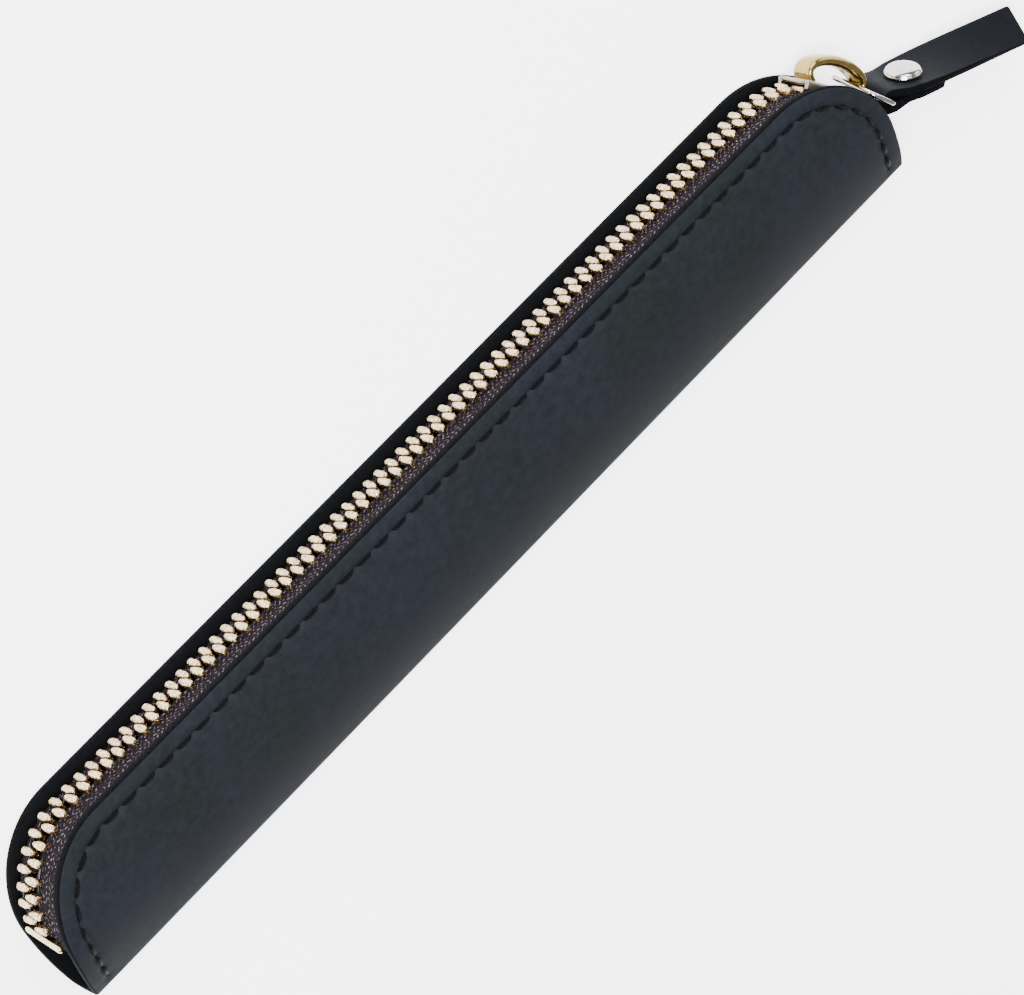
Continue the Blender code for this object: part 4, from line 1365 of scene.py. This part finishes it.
class PENCASE_OT_tapes(bpy.types.Operator):
    """Weave the two zip tapes and their corded edges"""
    bl_idname = "pencase.tapes"
    bl_label = "Zip Tapes"

    def execute(self, context):
        for side, word in ((1, "front"), (-1, "back")):
            strip = tape_strip(side, f"zip_tape_{word}")
            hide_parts(f"tape_{word}")
            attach(strip, "case")
            cord = bead(side, f"tape_cord_{word}")
            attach(cord, "case")
        return {"FINISHED"}


class PENCASE_OT_teeth(bpy.types.Operator):
    """Crimp the two rows of teeth"""
    bl_idname = "pencase.teeth"
    bl_label = "Zip Teeth"

    def execute(self, context):
        for side, word, shift in ((1, "front", 0), (-1, "back", TOOTH_PITCH / 2)):
            row = teeth_row(context.scene.pen_case_sizes, side, shift, f"zip_teeth_{word}")
            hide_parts(f"teeth_{word}")
            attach(row, "case")
        return {"FINISHED"}


class PENCASE_OT_stops(bpy.types.Operator):
    """Crimp the bottom stop and plate the top stops"""
    bl_idname = "pencase.stops"
    bl_label = "Zip Stops"

    def execute(self, context):
        bar = bottom_stop()
        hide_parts("bottom_stop")
        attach(bar, "case")
        for word in ("front", "back"):
            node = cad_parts[f"top_stop_{word}"]
            for number in range(len(node.data.materials)):
                node.data.materials[number] = finish_of("stop")
        return {"FINISHED"}


class PENCASE_OT_slider(bpy.types.Operator):
    """Cast the slider and its crown"""
    bl_idname = "pencase.slider"
    bl_label = "Slider"

    def execute(self, context):
        casting = slider_casting()
        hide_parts("slider_body")
        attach(casting, "slider")
        arch = crown()
        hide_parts("slider_crown")
        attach(arch, "slider")
        return {"FINISHED"}


class PENCASE_OT_ring(bpy.types.Operator):
    """Bend the pull ring"""
    bl_idname = "pencase.ring"
    bl_label = "Pull Ring"

    def execute(self, context):
        wire = ring()
        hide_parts("pull_ring")
        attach(wire, "ring")
        return {"FINISHED"}


class PENCASE_OT_strap(bpy.types.Operator):
    """Fold the pull strap round the ring"""
    bl_idname = "pencase.strap"
    bl_label = "Pull Strap"

    def execute(self, context):
        tab = strap_sheet()
        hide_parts("strap")
        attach(tab, "strap")
        return {"FINISHED"}


class PENCASE_OT_rivet(bpy.types.Operator):
    """Set the rivet that closes the strap's loop"""
    bl_idname = "pencase.rivet"
    bl_label = "Rivet"

    def execute(self, context):
        cap, post = rivet_parts()
        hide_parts("rivet_cap")
        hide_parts("rivet_post")
        for piece in (cap, post):
            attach(piece, "strap")
        return {"FINISHED"}


# Camera fitted to the case's outline in the photograph: the rotation as a vector,
# and the shift in mm, both from the fold's line to the camera
FOCAL_LENGTH = 192.7
CAMERA_VECTOR = Vector((-2.4994, 0.8961, -0.7589))
CAMERA_SHIFT = Vector((-3.0024, 11.1323, 846.3607))

# Name, place, side of the square in metres and power in watts
LIGHTS = (("key", (-0.55, 0.35, 1.0), 0.7, 42), ("fill", (0.35, 0.95, 0.75), 0.9, 22),
          ("side", (1.1, 0.1, 0.55), 0.7, 6))


def link_new(name, data):
    """New object of some data, linked into the scene."""
    made = bpy.data.objects.new(name, data)
    bpy.context.collection.objects.link(made)
    return made


def add_camera():
    """Camera at the photograph's viewing angle."""
    turn = Matrix.Rotation(CAMERA_VECTOR.length, 3, CAMERA_VECTOR.normalized()).transposed()
    place_mm = -(turn @ CAMERA_SHIFT) - Vector((0, EDGE_Y / MM, 0))
    camera = bpy.data.cameras.new("camera")
    camera.lens = FOCAL_LENGTH
    camera.sensor_width = 36
    camera.clip_start, camera.clip_end = 0.05, 10
    made = link_new("camera", camera)
    flip = Matrix.Diagonal((1, -1, -1))
    made.matrix_world = Matrix.Translation(place_mm * MM) @ (turn @ flip).to_4x4()
    bpy.context.scene.camera = made


def add_light(name, place_at, size, power):
    """Soft square light aimed at the case."""
    light = bpy.data.lights.new(name, "AREA")
    light.shape = "SQUARE"
    light.size = size
    light.energy = power
    made = link_new(name, light)
    made.location = place_at
    made.rotation_mode = "QUATERNION"
    made.rotation_quaternion = (-Vector(place_at)).to_track_quat("-Z", "Y")


class PENCASE_OT_stage(bpy.types.Operator):
    """Set the floor, the soft lights and the camera"""
    bl_idname = "pencase.stage"
    bl_label = "Stage"

    def execute(self, context):
        white = rgba(context.scene.pen_case_colours.floor)
        floor = primitive("plane", "floor", size=6)
        floor.data.materials.append(surface(new_material("matt_pale_floor"), white, {
            "Roughness": 0.9, "Specular IOR Level": 0.1, "Emission Color": white,
            "Emission Strength": 2.6}))
        world = context.scene.world or bpy.data.worlds.new("studio")
        context.scene.world = world
        world.use_nodes = True
        sky = world.node_tree.nodes.get("Background")
        sky.inputs["Color"].default_value = (1, 1, 1, 1)
        sky.inputs["Strength"].default_value = 0.55
        for light in LIGHTS:
            add_light(*light)
        add_camera()
        return {"FINISHED"}


OPERATORS = (PENCASE_OT_leather, PENCASE_OT_stitching, PENCASE_OT_tapes, PENCASE_OT_teeth,
             PENCASE_OT_stops, PENCASE_OT_slider, PENCASE_OT_ring, PENCASE_OT_strap,
             PENCASE_OT_rivet, PENCASE_OT_stage)


class PENCASE_PT_panel(bpy.types.Panel):
    """Lists the pen case's sizes, colours and pieces"""
    bl_idname = "PENCASE_PT_panel"
    bl_label = "Pen Case"
    bl_space_type = "VIEW_3D"
    bl_region_type = "UI"
    bl_category = "Pen Case"

    def draw(self, context):
        layout = self.layout
        for group in (context.scene.pen_case_sizes, context.scene.pen_case_colours):
            box = layout.box()
            for name in group.__annotations__:
                box.prop(group, name)
        for operator in OPERATORS:
            layout.operator(operator.bl_idname)


CLASSES = (PenCaseSizes, PenCaseColours, *OPERATORS, PENCASE_PT_panel)


def register():
    """Register the classes and the scene's settings."""
    for item in CLASSES:
        bpy.utils.register_class(item)
    bpy.types.Scene.pen_case_sizes = PointerProperty(type=PenCaseSizes)
    bpy.types.Scene.pen_case_colours = PointerProperty(type=PenCaseColours)


def unregister():
    """Take the classes and settings out again."""
    del bpy.types.Scene.pen_case_colours
    del bpy.types.Scene.pen_case_sizes
    for item in reversed(CLASSES):
        bpy.utils.unregister_class(item)


def main():
    """Build every piece."""
    register()
    for operator in OPERATORS:
        group, name = operator.bl_idname.split(".")
        getattr(getattr(bpy.ops, group), name)()


if __name__ == "__main__":
    main()
